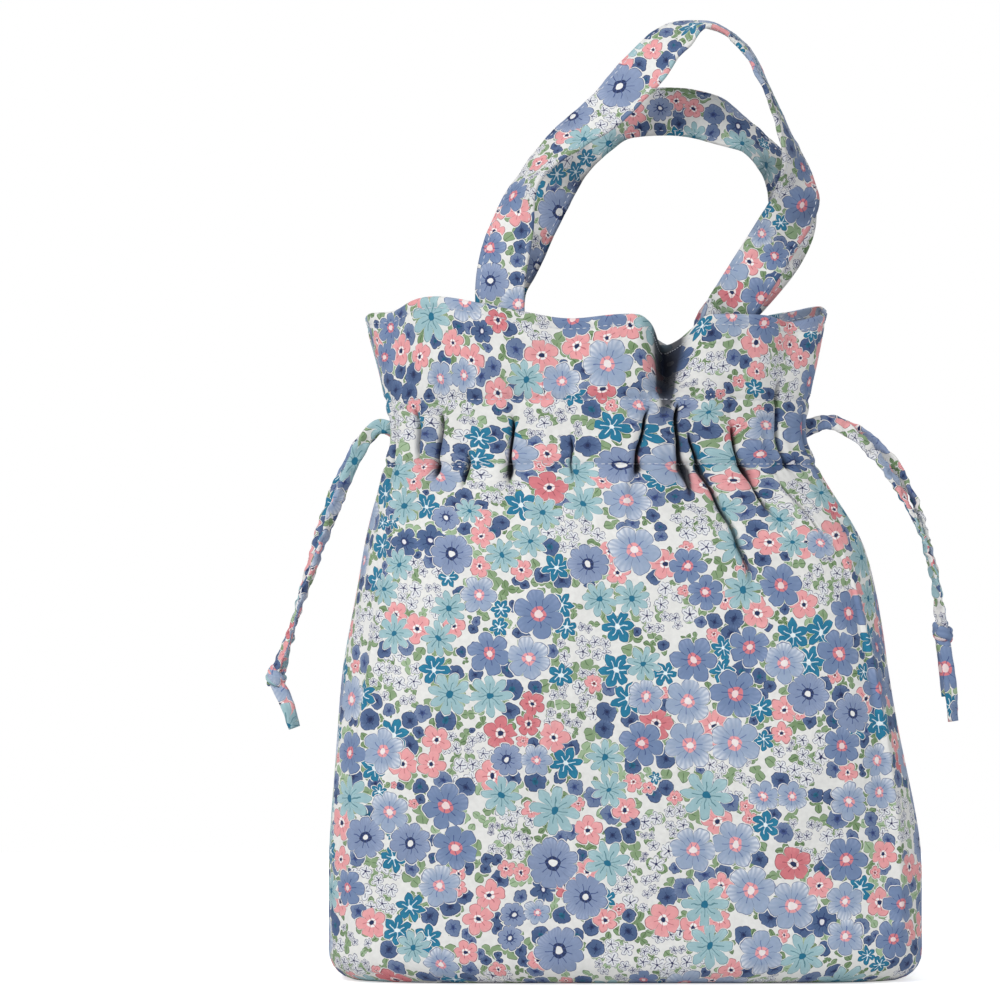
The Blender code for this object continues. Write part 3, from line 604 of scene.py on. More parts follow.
def draw_flowers(recipe, under, place, places, kinds, flock, vein_end=0.55):
    """Draws one scatter of flowers over the colour that lies under it."""
    middle, radius, (first, second, third) = places.look(recipe, place)
    gather = {"Vector": middle, "Scale": 1.0 / flock, "Randomness": 1.0}
    flocks = recipe.node("ShaderNodeTexVoronoi", {"voronoi_dimensions": "2D"}, gather)
    herd, _, _ = recipe.parts(flocks("Color"))
    number = herd + (first - herd) * (third > STRAYS)
    arm = recipe.node("ShaderNodeSeparateXYZ", None, {0: recipe.vector("SUBTRACT", place, middle)})
    away = recipe.maths("SQRT", arm(0) * arm(0) + arm(1) * arm(1))
    reach = away / radius
    angle = recipe.maths("ARCTAN2", arm(1), arm(0))
    turn = angle + second * (2.0 * math.pi)

    def pick(column):
        return chooser(recipe, number, kinds, column)

    shape = pick("shape")
    tenth, roundness, waist = recipe.parts(shape())
    half_turn = turn * tenth * 5.0
    swing = abs(recipe.maths("COSINE", half_turn))
    pointed = 1.0 - recipe.maths("ARCCOSINE", swing) * (2.0 / math.pi)
    lobes = (swing + (pointed - swing) * shape(1)) ** roundness
    inside = (waist + (1.0 - waist) * lobes - reach) * radius
    shown = radius > 0.0
    fade = recipe.node("ShaderNodeMapRange", None, {0: reach, 1: 0.50, 2: 1.00, 3: 0.0, 4: 1.0})()
    streaks = recipe.maths("COSINE", half_turn * 9.0) * 0.35 + 0.65
    side = recipe.maths("COSINE", angle - third * 9.0) * 0.5 + 0.55
    petal = recipe.mix(fade * streaks * side, pick("petal")(), pick("tip")())
    outline, vein_colour = pick("outline")(), pick("vein")()
    from_axis = away * abs(recipe.maths("SINE", half_turn)) / (tenth * 5.0)
    vein = (from_axis < VEIN) * (reach > EYE_REACH) * (reach < vein_end)
    petal = recipe.mix(vein * 0.85, petal, vein_colour)
    petal = recipe.mix(reach < RING_REACH, petal, pick("ring")())
    petal = recipe.mix((reach < 0.62) * vein * 0.8, petal, vein_colour)
    petal = recipe.mix(reach < EYE_REACH, petal, pick("eye")())
    seam = (lobes < 0.30) * (reach > RING_REACH)
    line = recipe.maths("MAXIMUM", inside < LINE, seam)
    drawn = recipe.mix(line * 0.80, petal, outline)
    cleared = recipe.mix((inside > -HALO) * shown, under, GROUND)
    return recipe.mix((inside > 0.0) * shown, cleared, drawn)


print("flower layer ready")

# %% [markdown]
# Five layers make the whole print, and one factor sets its size on the cloth. A
# slight warp of the sheet makes every outline look drawn by hand, and a soft
# cloudiness gives the watercolour tone. Deep folds get painted shade: their
# colour is darkened towards navy, as much as each point of the mesh asks for.
# The cloth itself is a fine plain weave: two crossed waves of thread that lift
# the surface by a few hundredths of a millimetre.

# %% The printed cotton
PRINT_SIZE = 0.87
WARP_PACE = 230.0
WARP_REACH = 0.0024
CLOUD_PACE = 460.0
CLOUD_TONES = (0.935, 1.02)
THREAD_PITCH = 0.00048
THREAD_LIFT = 0.00003
WRINKLE_PACE = 70.0
WRINKLE_LIFT = 0.0019
# Dark navy of the painted shade that darkens the folds of the cloth.
FOLD_SHADE = paint("1A2034")


def printed_cloth(name, crumple=1.0):
    """The cotton print. Crumple is the size of its fine wrinkles."""
    material, recipe = new_material(name)

    def noise_at(outlet, pace, detail, roughness=0.5):
        values = {"Vector": place, "Scale": pace, "Detail": detail, "Roughness": roughness}
        return recipe.node("ShaderNodeTexNoise", None, values)(outlet)

    place = recipe.node("ShaderNodeUVMap", {"uv_map": "cloth"})()
    wander = recipe.vector("SUBTRACT", noise_at(1, WARP_PACE, 1.5), (0.5, 0.5, 0.5))
    wander = recipe.scale(wander, WARP_REACH)
    drawn = recipe.scale(recipe.vector("ADD", place, wander), 1.0 / PRINT_SIZE)
    colour = draw_flowers(recipe, GROUND, drawn, LEAF_PLACES, LEAVES, 0.030, vein_end=0.90)
    colour = draw_flowers(recipe, colour, drawn, FLORET_PLACES, FLORETS, 0.030, vein_end=0.70)
    colour = draw_flowers(recipe, colour, drawn, BUD_PLACES, BUDS, 0.020)
    colour = draw_flowers(recipe, colour, drawn, MIDDLE_PLACES, MIDDLE_FLOWERS, 0.040)
    colour = draw_flowers(recipe, colour, drawn, BIG_PLACES, BIG_FLOWERS, 0.052)
    values = {0: noise_at(0, CLOUD_PACE, 2.0), 1: 0.3, 2: 0.7, 3: CLOUD_TONES[0], 4: CLOUD_TONES[1]}
    tone = recipe.node("ShaderNodeMapRange", None, values)()
    # Painted shade: the print is mixed towards dark navy as far as the shade stored on each point of the mesh
    # asks.
    painted_shade_amount = recipe.node("ShaderNodeAttribute", {"attribute_name": "fold"})("Fac")
    colour_with_tone_and_painted_shade = recipe.mix(painted_shade_amount * 0.90, recipe.scale(colour, tone), FOLD_SHADE)
    split = recipe.node("ShaderNodeSeparateXYZ", None, {0: place})
    warp = recipe.maths("SINE", split(0) * (2.0 * math.pi / THREAD_PITCH))
    weft = recipe.maths("SINE", split(1) * (2.0 * math.pi / THREAD_PITCH))
    weave = warp * weft
    height = weave * THREAD_LIFT + noise_at(0, WRINKLE_PACE, 3.0, 0.55) * (WRINKLE_LIFT * crumple)
    bump = recipe.node("ShaderNodeBump", None, {"Strength": 0.8, "Distance": 1.0, "Height": height})()
    roughness = 0.80 + weave * 0.04
    shader = recipe.node("ShaderNodeBsdfPrincipled", None, {
        "Base Color": colour_with_tone_and_painted_shade, "Roughness": roughness, "Normal": bump,
        "Specular IOR Level": 0.25, "Sheen Weight": 0.08, "Sheen Roughness": 0.6,
    })()
    recipe.node("ShaderNodeOutputMaterial", None, {"Surface": shader})
    return material


cotton = printed_cloth("printed_cotton")
tape_cloth = printed_cloth("printed_tape", crumple=0.5)
for thing in (*strands.values(), *channel_runs.values()):
    thing.data.materials.append(tape_cloth)
print("print made of", len(cotton.node_tree.nodes), "nodes")

# %% [markdown]
# Cloth that is drawn up on a cord doesn't wave evenly. It closes into a few
# thin dark creases, stays nearly smooth between them, and opens into a small
# pocket just under the channel, where each crease lets go and fades. So a
# gather here has two parts: a slot, narrow and deep, and a shallow dip on both
# sides of it. Each row of the table is one gather of the front: its place from
# seam to seam, its strength, the heights where it starts and ends, and how far
# it leans on the way down.

# %% The gathers of the neck
FRONT_GATHERS = (
    (-0.880, 0.50, 0.234, 0.204, 0.000),
    (-0.742, 0.80, 0.238, 0.217, 0.006),
    (-0.631, 0.95, 0.236, 0.207, -0.022),
    (-0.517, 0.60, 0.220, 0.203, 0.000),
    (-0.341, 0.95, 0.234, 0.205, -0.016),
    (-0.110, 0.40, 0.227, 0.207, -0.010),
    (0.193, 0.90, 0.238, 0.208, -0.088),
    (0.306, 1.15, 0.240, 0.200, -0.008),
    (0.352, 0.90, 0.228, 0.160, 0.062),
    (0.523, 1.00, 0.231, 0.190, 0.030),
    (0.655, 0.60, 0.207, 0.180, 0.050),
    (0.722, 0.95, 0.250, 0.211, 0.012),
    (0.885, 0.65, 0.238, 0.196, 0.020),
)
BACK_GATHERS = 12
SLOT_DEPTH = 0.0082
SLOT_WIDTH = 0.00066
POCKET_WIDTH = 0.0018
DIP_DEPTH = 0.0031
DIP_WIDTH = 0.0052
DIP_FALL = 0.034
DIP_RISE = 0.013
NOTCH_PLACE = 0.262
NOTCH_DEPTH = 0.0085
NOTCH_WIDTH = 0.0042


def front_share(place):
    return (place + 3.0) / 4.0


def back_share(place):
    return (1.0 - place) / 4.0


gathers = [(front_share(place), depth, top, end, lean / 4) for place, depth, top, end, lean in FRONT_GATHERS]
for index in range(BACK_GATHERS):
    place = 0.96 * (2.0 * (index + 0.5 + 0.30 * math.sin(2.4 * index + 0.7)) / BACK_GATHERS - 1.0)
    depth = 0.72 + 0.36 * math.sin(1.9 * index + 1.0)
    end = 0.200 + 0.018 * math.sin(2.7 * index + 2.0)
    gathers.append((back_share(place), depth, 0.237 + 0.003 * math.sin(3.1 * index), end, -0.010 * place))
gathers = np.array(sorted(gathers))


def apart(shares, centre):
    return np.mod(shares - centre + 0.5, 1.0) - 0.5


def crease_run(height, top, end):
    """How strong a crease is at one height, between its start and its end."""
    ending = smooth_step(end, end + 0.30 * (CHANNEL_LOW + 0.010 - end), height)
    return float(ending * (1.0 - smooth_step(top - 0.005, top + 0.001, height)))


def notch_closing(shares, height, perimeter):
    """How far the notch of the ruffle is pressed in at one height, from 0 to 1."""
    away = np.abs(apart(shares, front_share(NOTCH_PLACE))) * perimeter
    grown = float(smooth_step(0.232, 0.250, height))
    return grown * np.exp(-(away / (NOTCH_WIDTH * (0.35 + 0.65 * grown))) ** 2)


def closing(shares, height, perimeter):
    """How far the slots are closed at one height: 0 on the smooth cloth, 1 deep in a crease."""
    closed = np.zeros(len(shares))
    for centre, depth, top, end, _ in gathers:
        below = CHANNEL_LOW - height
        opening = float(smooth_step(-0.003, 0.003, below) * (1.0 - smooth_step(0.002, 0.009, below)))
        width = SLOT_WIDTH * (0.6 + 0.4 * depth) + (POCKET_WIDTH * min(1.0, depth) - SLOT_WIDTH) * opening
        away = np.abs(apart(shares, centre)) * perimeter
        closed += depth * crease_run(height, top, end) * np.exp(-(away / width) ** 1.6)
    return closed + NOTCH_DEPTH / SLOT_DEPTH * notch_closing(shares, height, perimeter)


def gather_depths(shares, height, perimeter, slots=True):
    """How far the gathers press the cloth inward at one height."""
    below, above = max(0.0, CHANNEL_LOW - height), max(0.0, height - CHANNEL_HIGH)
    dips = np.zeros(len(shares))
    fade = (1.0 - float(smooth_step(0.0, DIP_FALL, below))) * (1.0 - float(smooth_step(0.0, DIP_RISE, above)))
    for centre, depth, _, _, _ in gathers:
        away = np.abs(apart(shares, centre)) * perimeter
        dips += depth ** 2 * fade * np.exp(-(away / (DIP_WIDTH * (1.0 + 16.0 * below))) ** 1.25)
    if slots:
        deep = SLOT_DEPTH * closing(shares, height, perimeter)
    else:
        deep = NOTCH_DEPTH * notch_closing(shares, height, perimeter)
    return deep + DIP_DEPTH * np.tanh(dips)


print("gathers round the neck:", len(gathers))

# %% [markdown]
# Above the channel the cloth is free, so it waves in and out in a ruffle and
# its edge dips where it folds inward. One wave folds in so far that it cuts a
# deep notch in the front of the hem. At each side seam the channel is left
# open, and the cloth sinks into a small eyelet there. The front of the bag
# turns into its sides along a soft crease.

# %% The ruffle, the side seams and the eyelets
FRONT_WAVES = (
    (-0.78, 0.0050, 0.0120),
    (-0.10, 0.0045, 0.0140),
    (0.26, 0.0240, 0.0070),
    (0.74, 0.0060, 0.0110),
)
BACK_WAVES = (
    (-0.66, 0.0100, 0.011),
    (-0.02, 0.0080, 0.013),
    (0.22, 0.0060, 0.009),
    (0.80, 0.0060, 0.011),
)
FRONT_LIFTS = ((-0.60, 0.0075, 0.030), (0.32, -0.0035, 0.0055))
BACK_LIFTS = ((0.29, -0.0095, 0.009), (0.84, 0.0065, 0.021))
HEM_DIP = 0.46
SEAM_GROOVE = 0.0011
EYELET_REACH = (0.0065, 0.0060)
CORNER_PLACE = 0.72
CORNER_RIDGE = 0.0012


def both_sides(front, back):
    rows = [(front_share(place), size, half) for place, size, half in front]
    return rows + [(back_share(place), size, half) for place, size, half in back]


waves = both_sides(FRONT_WAVES, BACK_WAVES)
lifts = both_sides(FRONT_LIFTS, BACK_LIFTS)


def humps(rows, shares, perimeter):
    total = np.zeros(len(shares))
    for centre, size, half in rows:
        total += size * np.exp(-((apart(shares, centre) * perimeter / half) ** 2))
    return total


def hem_drop(shares, perimeter):
    return HEM_DIP * humps(waves, shares, perimeter) - humps(lifts, shares, perimeter)


def seam_depths(shares, height, perimeter):
    """The shallow groove of each side seam and the eyelet that the tapes come out of."""
    total = np.zeros(len(shares))
    for centre in (0.0, 0.5):
        away = apart(shares, centre) * perimeter
        total += SEAM_GROOVE * np.exp(-np.abs(away) / 0.0016)
        level = math.exp(-(((height - NECK_LEVEL) / EYELET_REACH[1]) ** 4))
        total += 0.0062 * level * np.exp(-((away / EYELET_REACH[0]) ** 4))
    return total


def corner_ridges(shares, height, perimeter):
    """The soft upright crease where the front turns into each side."""
    grown = float(smooth_step(0.008, 0.030, height) * (1.0 - smooth_step(0.150, 0.195, height)))
    total = np.zeros(len(shares))
    for place in (-CORNER_PLACE, CORNER_PLACE):
        for centre in (front_share(place), back_share(place)):
            away = np.abs(apart(shares, centre)) * perimeter
            total += CORNER_RIDGE * grown * (bell(away, 0.0030) - 0.8 * bell(away - 0.009, 0.007))
    return total


def stitch_pinch(height):
    """Each row of stitching draws the cloth in a little."""
    lines = ((CHANNEL_LOW, 0.0011), (CHANNEL_HIGH, 0.0009), (HEM_SEAM, 0.0004))
    return sum(depth * math.exp(-(((height - level) / 0.0013) ** 2)) for level, depth in lines)


def wrinkles(shares, height):
    """Soft wrinkles: long ones that fan down from the neck, puckers at the stitches and slack waves."""
    near_neck = math.exp(-((height - 0.205) / 0.038) ** 2)
    puckered = sum(math.exp(-(((height - level) / 0.0060) ** 2)) for level in (CHANNEL_LOW, CHANNEL_HIGH))
    ruffled = float(smooth_step(CHANNEL_HIGH, HEM_LEVEL, height))
    slack = float(smooth_step(0.010, 0.060, height) * (1.0 - smooth_step(0.19, 0.23, height)))
    found = []
    for share in shares:
        across, along = 0.107 * math.cos(2.0 * math.pi * share), 0.107 * math.sin(2.0 * math.pi * share)
        fan = noise.noise(Vector((across * 130, along * 130, height * 22)))
        pucker = noise.noise(Vector((across * 330, along * 330, height * 60 + 3)))
        broad = noise.noise(Vector((across * 24, along * 24, height * 15 + 7)))
        flutter = noise.noise(Vector((across * 55, along * 55, height * 30 + 11)))
        found.append(0.0013 * near_neck * fan + 0.0006 * puckered * pucker + 0.0030 * slack * broad
                     + 0.0016 * ruffled * flutter)
    return np.array(found)


print("waves of the ruffle:", len(waves), "and its lifts:", len(lifts))

# %% [markdown]
# Now the shell itself. It is a grid: rows go up the bag and columns go round
# it. The columns crowd together at the gathers, where the cloth turns sharply,
# and lean with the folds. The front and the back are two panels that meet at
# the side seams, so each has its own piece of the print. The map is in metres
# of cloth and keeps the flowers upright and at their real size. Close to a
# crease it jumps, because there some of the cloth is hidden inside the fold.
# Each point also notes how deep it lies in a fold, for the painted shade there.

# %% One row of the cloth
COLUMNS = 780
INNER_STEP = 3
PANEL_STARTS = (1.48, 0.30)
HIDDEN_CLOTH = 0.0042
# An even painted shade over the whole inner wall, for the inside of the bag, which lies in shade.
LINING_SHADE = 0.42


def lean_at(shares, height):
    """How far the columns lean with the gathers below the channel, as a share."""
    tops, ends, leans = gathers[:, 2], gathers[:, 3], gathers[:, 4]
    leans = leans * np.clip((tops - height) / (tops - ends), 0.0, 1.6) * smooth_step(0.03, 0.16, height)
    front = gathers[:, 0] > 0.5
    places = np.concatenate(([0.0], gathers[~front, 0], [0.5], gathers[front, 0], [1.0]))
    wander = 0.0010 * np.sin((260.0 + 1700.0 * gathers[:, 1] % 230.0) * height + 90.0 * gathers[:, 0])
    wander = wander * (1.0 - smooth_step(0.240, 0.252, height))
    leans = leans + wander * float(smooth_step(0.14, 0.19, height))
    amounts = np.concatenate(([0.0], leans[~front], [0.0], leans[front], [0.0]))
    return np.interp(shares, places, amounts)


def crowded_shares():
    """Places of the columns round the bag, close together at the gathers and the waves."""
    fine = np.linspace(0.0, 1.0, 48001)
    weight = np.ones(len(fine))
    for centre in gathers[:, 0]:
        away = np.abs(apart(fine, centre)) * NECK_GIRTH
        weight += 10.0 * bell(away, 0.0012) + 2.2 * bell(away, 0.0050)
    for centre, _, half in waves:
        weight += 0.8 * np.exp(-((apart(fine, centre) * NECK_GIRTH / (1.4 * half)) ** 2))
    weight += 5.0 * np.exp(-((apart(fine, front_share(NOTCH_PLACE)) * NECK_GIRTH / 0.0060) ** 2))
    shares = []
    for start, end in ((0.0, 0.5), (0.5, 1.0)):
        part = (fine >= start) & (fine <= end)
        grown = np.cumsum(weight[part])
        grown = (grown - grown[0]) / (grown[-1] - grown[0])
        shares.append(np.interp(np.arange(COLUMNS // 2) / (COLUMNS // 2), grown, fine[part]))
    return np.concatenate(shares)


def cloth_row(shares, height, slots=True):
    """The outer face of the cloth at one nominal height."""
    half_width, half_depth, shift, square = plan_at(height)
    inset = 0.0
    if height < BASE_EDGE_RADIUS:
        drop = 1.0 - height / BASE_EDGE_RADIUS
        inset = BASE_EDGE_RADIUS * (1.0 - math.sqrt(max(0.0, 1.0 - drop * drop)))
    leaning = shares + lean_at(shares, height)
    points, normals, perimeter = ring_at(half_width - inset, half_depth - inset, square, leaning)
    risen = float(np.clip((height - CHANNEL_HIGH) / (HEM_LEVEL - CHANNEL_HIGH), 0.0, 1.0))
    waved = 1.0 - (1.0 - risen) ** 1.5
    inward = gather_depths(shares, height, perimeter, slots) + waved * humps(waves, shares, perimeter)
    inward += seam_depths(shares, height, perimeter) + stitch_pinch(height)
    if height > BASE_EDGE_RADIUS:
        inward += wrinkles(shares, height) - corner_ridges(shares, height, perimeter)
    x = points[:, 0] - normals[:, 0] * inward + shift
    y = points[:, 1] - normals[:, 1] * inward
    return np.column_stack((x, y, height - waved * hem_drop(shares, perimeter)))


def map_row(shares, height):
    """Where the columns lie on the flat cloth at one height, the end of each panel, and the painted fold
    shade.
    """
    half_width, half_depth, _, square = plan_at(height)
    perimeter = ring_at(half_width, half_depth, square, shares[:1])[2]
    centres = np.where(shares < 0.5, 0.25, 0.75)
    starts = np.where(shares < 0.5, PANEL_STARTS[0], PANEL_STARTS[1])
    across = starts + (shares + lean_at(shares, height) - centres) * perimeter
    for centre, depth, top, end, _ in gathers:
        away = apart(shares, centre) * perimeter
        pull = HIDDEN_CLOTH * depth * crease_run(height, top, end)
        drawn_in = (1.0 - np.exp(-np.abs(away) / 0.0007)) * np.exp(-np.abs(away) / 0.011)
        across += pull * np.sign(away) * drawn_in
    # Painted shade: darker beside the gathers, deep in closed creases, in the deep waves of the ruffle and in
    # its notch, where the folds lie in shade.
    waved = float(smooth_step(CHANNEL_HIGH, HEM_LEVEL, height))
    deep = smooth_step(0.0055, 0.0130, waved * humps(waves, shares, perimeter))
    away = np.abs(apart(shares, front_share(NOTCH_PLACE))) * perimeter
    notch = float(smooth_step(0.231, 0.243, height)) * np.exp(-((away / (0.0030 + 0.0030 * waved)) ** 4))
    fading = 1.0 - 0.6 * float(smooth_step(0.008, 0.034, CHANNEL_LOW - height))
    dim = 0.15 * gather_depths(shares, height, perimeter, slots=False) / DIP_DEPTH
    creased = fading * smooth_step(0.26, 0.62, closing(shares, height, perimeter))
    shade = dim + creased + 0.5 * deep * waved + notch
    shade = np.clip(shade, 0.0, 1.0)
    return across, (PANEL_STARTS[0] + perimeter / 4, PANEL_STARTS[1] + perimeter / 4), shade


columns = crowded_shares()
print("columns:", len(columns), "closest", round(1000 * NECK_GIRTH * float(np.diff(columns).min()), 2), "mm")

# %% The grid of the shell
CLOTH_WALL = 0.0014
HEM_WALL = 0.0020
CASING_INSET = 0.0165


def casing_row(shares, height):
    """The inner wall of the channel, which is less gathered than the outside."""
    half_width, half_depth, shift, square = plan_at(height)
    points, normals, perimeter = ring_at(half_width - CASING_INSET, half_depth - CASING_INSET, square, shares)
    pressed = -0.4 * gather_depths(shares, height, perimeter, slots=False)
    plan = points + normals * pressed[:, None] + np.array((shift, 0.0))
    return np.column_stack((plan, np.full(len(shares), height)))


def grid_normals(grid):
    around = np.roll(grid, -1, axis=1) - np.roll(grid, 1, axis=1)
    normals = np.cross(around, np.gradient(grid, axis=0))
    normals /= np.linalg.norm(normals, axis=2, keepdims=True)
    normals[0] = (0.0, 0.0, -1.0)
    return normals


edge_heights = BASE_EDGE_RADIUS * (1.0 - np.cos(np.radians(np.linspace(0.0, 90.0, 7)[:-1])))
heights = np.concatenate((
    edge_heights,
    np.linspace(BASE_EDGE_RADIUS, BELLY_LEVEL, 15, endpoint=False),
    np.linspace(BELLY_LEVEL, 0.178, 14, endpoint=False),
    np.linspace(0.178, CHANNEL_LOW - 0.012, 11, endpoint=False),
    np.linspace(CHANNEL_LOW - 0.012, CHANNEL_LOW + 0.002, 16, endpoint=False),
    np.linspace(CHANNEL_LOW + 0.002, CHANNEL_HIGH - 0.006, 10, endpoint=False),
    np.linspace(CHANNEL_HIGH - 0.006, CHANNEL_HIGH + 0.003, 9, endpoint=False),
    np.linspace(CHANNEL_HIGH + 0.003, HEM_LEVEL - 0.006, 13, endpoint=False),
    np.linspace(HEM_LEVEL - 0.006, HEM_LEVEL, 6),
))
outer = np.array([cloth_row(columns, height) for height in heights])
normals = grid_normals(outer)
inner_columns = columns[::INNER_STEP]
soft = np.array([cloth_row(inner_columns, height, slots=False) for height in heights])
walls = CLOTH_WALL + (HEM_WALL - CLOTH_WALL) * smooth_step(HEM_LEVEL - 0.016, HEM_LEVEL - 0.012, heights)
padded = 1.0 - smooth_step(CHANNEL_HIGH, CHANNEL_HIGH + 0.006, heights)
walls = walls + SLOT_DEPTH * smooth_step(0.150, 0.200, heights) * padded
inner = soft - grid_normals(soft) * walls[:, None, None]
for index, height in enumerate(heights):
    entering = smooth_step(CHANNEL_LOW - 0.006, CHANNEL_LOW + 0.006, height)
    leaving = smooth_step(CHANNEL_HIGH - 0.006, CHANNEL_HIGH + 0.006, height)
    weight = float(entering * (1.0 - leaving))
    if weight > 0.0:
        inner[index] = (1.0 - weight) * inner[index] + weight * casing_row(inner_columns, height)
inner[-1] = outer[-1][::INNER_STEP] - normals[-1][::INNER_STEP] * HEM_WALL
print("rows:", len(heights), "highest point", round(1000 * float(outer[:, :, 2].max()), 1), "mm")

# %% Join the grid into a closed shell with its cloth map
HEM_ROUNDING = 0.0007


class Shell:
    """Vertices, faces, cloth map corners and painted fold shades, gathered piece by piece."""

    def __init__(self):
        self.points = []
        self.faces = []
        self.corners = []
        self.shades = []

    def add_points(self, rows, shades):
        first = len(self.points)
        self.points += [tuple(point) for row in rows for point in row]
        self.shades += [float(shade) for row in shades for shade in row]
        return first

    def add_wall(self, grid, maps, shades, up):
        """Points and quads of a grid of rows, each with its places on the flat cloth."""
        first = self.add_points(grid, shades)
        wide, half = grid.shape[1], grid.shape[1] // 2
        for row in range(len(grid) - 1):
            for column in range(wide):
                following = (column + 1) % wide
                low, high = first + row * wide, first + (row + 1) * wide
                self.faces.append((low + column, low + following, high + following, high + column))
                last = column in (half - 1, wide - 1)
                panel = 0 if column < half else 1
                right = [maps[r][1][panel] if last else maps[r][0][following] for r in (row, row + 1)]
                self.corners += [(maps[row][0][column], up[row]), (right[0], up[row]),
                                 (right[1], up[row + 1]), (maps[row + 1][0][column], up[row + 1])]
        return first

    def add_face(self, corners, places):
        self.faces.append(tuple(corners))
        self.corners += places


def climb(grid):
    """Metres of cloth up the bag at each row."""
    return np.concatenate(([0.0], np.cumsum(np.linalg.norm(np.diff(grid, axis=0), axis=2).mean(axis=1))))


def shell_mesh(name, outer, inner):
    """Outer wall, rounded hem, inner wall and two floors, as one closed body."""
    shell = Shell()
    inner_top = np.repeat(inner[-1], INNER_STEP, axis=0)
    drift = (np.roll(inner[-1], -1, axis=0) - inner[-1]) / INNER_STEP
    parts = np.tile(np.arange(INNER_STEP), len(drift))[:, None]
    inner_top = inner_top + np.repeat(drift, INNER_STEP, axis=0) * parts
    middle = (outer[-1] + inner_top) / 2 + np.array((0.0, 0.0, HEM_ROUNDING))
    wall = np.concatenate((outer, middle[None]))
    outer_maps = [map_row(columns, height) for height in (*heights, HEM_LEVEL)]
    up = climb(wall)
    shell.add_wall(wall, outer_maps, [shade for _, _, shade in outer_maps], up)
    lining = inner[::-1]
    inner_maps = [map_row(inner_columns, height) for height in heights[::-1]]
    # The inner wall carries the even painted shade of the inside.
    below = shell.add_wall(lining, inner_maps, np.full(lining.shape[:2], LINING_SHADE), 2.2 + climb(lining))
    rim = (len(wall) - 1) * COLUMNS
    for step in range(lining.shape[1]):
        top = [rim + (step * INNER_STEP + part) % COLUMNS for part in range(INNER_STEP + 1)]
        face = top + [below + (step + 1) % lining.shape[1], below + step]
        along = [outer_maps[-1][0][step * INNER_STEP] + 0.001 * part for part in (0, 1, 2, 3, 3, 0)]
        lifts = (0, 0, 0, 0, 0.001, 0.001)
        shell.add_face(face, [(place, up[-1] + lift) for place, lift in zip(along, lifts)])
    inner_base = below + (len(lining) - 1) * lining.shape[1]
    floors = ((outer[0], 0, COLUMNS, -1), (lining[-1], inner_base, lining.shape[1], 1))
    for row, first, wide, order in floors:
        centre = shell.add_points([[row.mean(axis=0)]], [[0.0]])
        for column in range(wide):
            face = (first + column, first + (column + 1) % wide, centre)[::order]
            flat = [shell.points[corner] for corner in face]
            shell.add_face(face, [(point[0] + 0.6, point[1] + 3.1) for point in flat])
    return cloth_mesh(name, shell.points, shell.faces, shell.corners, shell.shades, cotton)


bag = shell_mesh("bag_cloth", outer, inner)
bag.data.calc_loop_triangles()
print("bag cloth:", len(bag.data.loop_triangles), "triangles")

# %% [markdown]
# The handles are bands folded from the same cloth and stitched along both
# edges. Their feet are sewn flat inside the hem, so each foot follows the wavy
# wall at five places across its width. From there the band rises, twists and
# leans over. A band is a flat section swept along the route, thinner along the
# two stitch rows, where the thread squeezes its four layers.

# %% The routes of the handles
HANDLE_WIDTH = 0.0205
HANDLE_THICKNESS = 0.0024
HANDLE_RISE = 0.123
HANDLE_SPREAD = 0.0935
HANDLE_CENTRE = -0.0052
HANDLE_TUCK = 0.015
ACROSS_PLACES = (-1.0, -0.5, 0.0, 0.5, 1.0)
FRONT_HANDLE_ROUTE = (
    (-0.500, 0.130, -0.824, 0),
    (-0.463, 0.268, -0.715, 18),
    (-0.394, 0.447, -0.586, 62),
    (-0.233, 0.585, -0.472, 50),
    (-0.030, 0.707, -0.372, 32),
    (0.141, 0.846, -0.300, 24),
    (0.270, 0.951, -0.257, 45),
    (0.419, 1.000, -0.229, 80),
    (0.569, 0.939, -0.257, 78),
    (0.676, 0.801, -0.315, 82),
    (0.751, 0.667, -0.400, 78),
    (0.815, 0.520, -0.501, 58),
    (0.812, 0.390, -0.586, 12),
    (0.729, 0.276, -0.624, 0),
    (0.600, 0.122, -0.687, 0),
)
BACK_HANDLE_ROUTE = (
    (-0.490, 0.120, 0.815, 0),
    (-0.418, 0.224, 0.687, 10),
    (-0.308, 0.390, 0.501, 22),
    (-0.175, 0.556, 0.343, 28),
    (-0.062, 0.646, 0.257, 18),
    (0.054, 0.702, 0.186, 6),
    (0.267, 0.715, 0.143, 4),
    (0.444, 0.693, 0.157, 10),
    (0.615, 0.627, 0.229, 48),
    (0.729, 0.546, 0.329, 44),
    (0.804, 0.453, 0.458, 22),
    (0.831, 0.352, 0.515, 8),
    (0.770, 0.235, 0.572, 0),
    (0.640, 0.110, 0.652, 0),
)


def wall_frame(share, height):
    """A point on the outer face of the ruffle, with its outward normal."""
    shares = np.array((share - 0.002, share, share + 0.002))
    here, above = cloth_row(shares, height), cloth_row(shares, height + 0.0005)
    normal = np.cross(here[2] - here[0], above[1] - here[1])
    return here[1], normal / np.linalg.norm(normal)


def foot_stations(end, to_share, side):
    """Centre, facing and cross bends at three heights of one foot, inside the hem."""
    places = np.linspace(-1.0, 1.0, 200)
    row = cloth_row(to_share(places), HEM_LEVEL - HANDLE_TUCK / 2)
    share = float(to_share(np.interp(HANDLE_CENTRE + end * HANDLE_SPREAD / 2, row[:, 0], places)))
    half = HANDLE_WIDTH / 2 / 0.445
    stations = []
    for tuck in (1.0, 0.5, 0.06):
        level = HEM_LEVEL - tuck * HANDLE_TUCK
        point, normal = wall_frame(share, level)
        wall = cloth_row(share - side * end * half * np.array(ACROSS_PLACES), level)
        drops = [side * float(np.dot(point - other, normal)) for other in wall]
        inward = HEM_WALL + 0.0003 + HANDLE_THICKNESS / 2
        stations.append(np.concatenate((point - normal * inward, side * normal, drops)))
    return stations


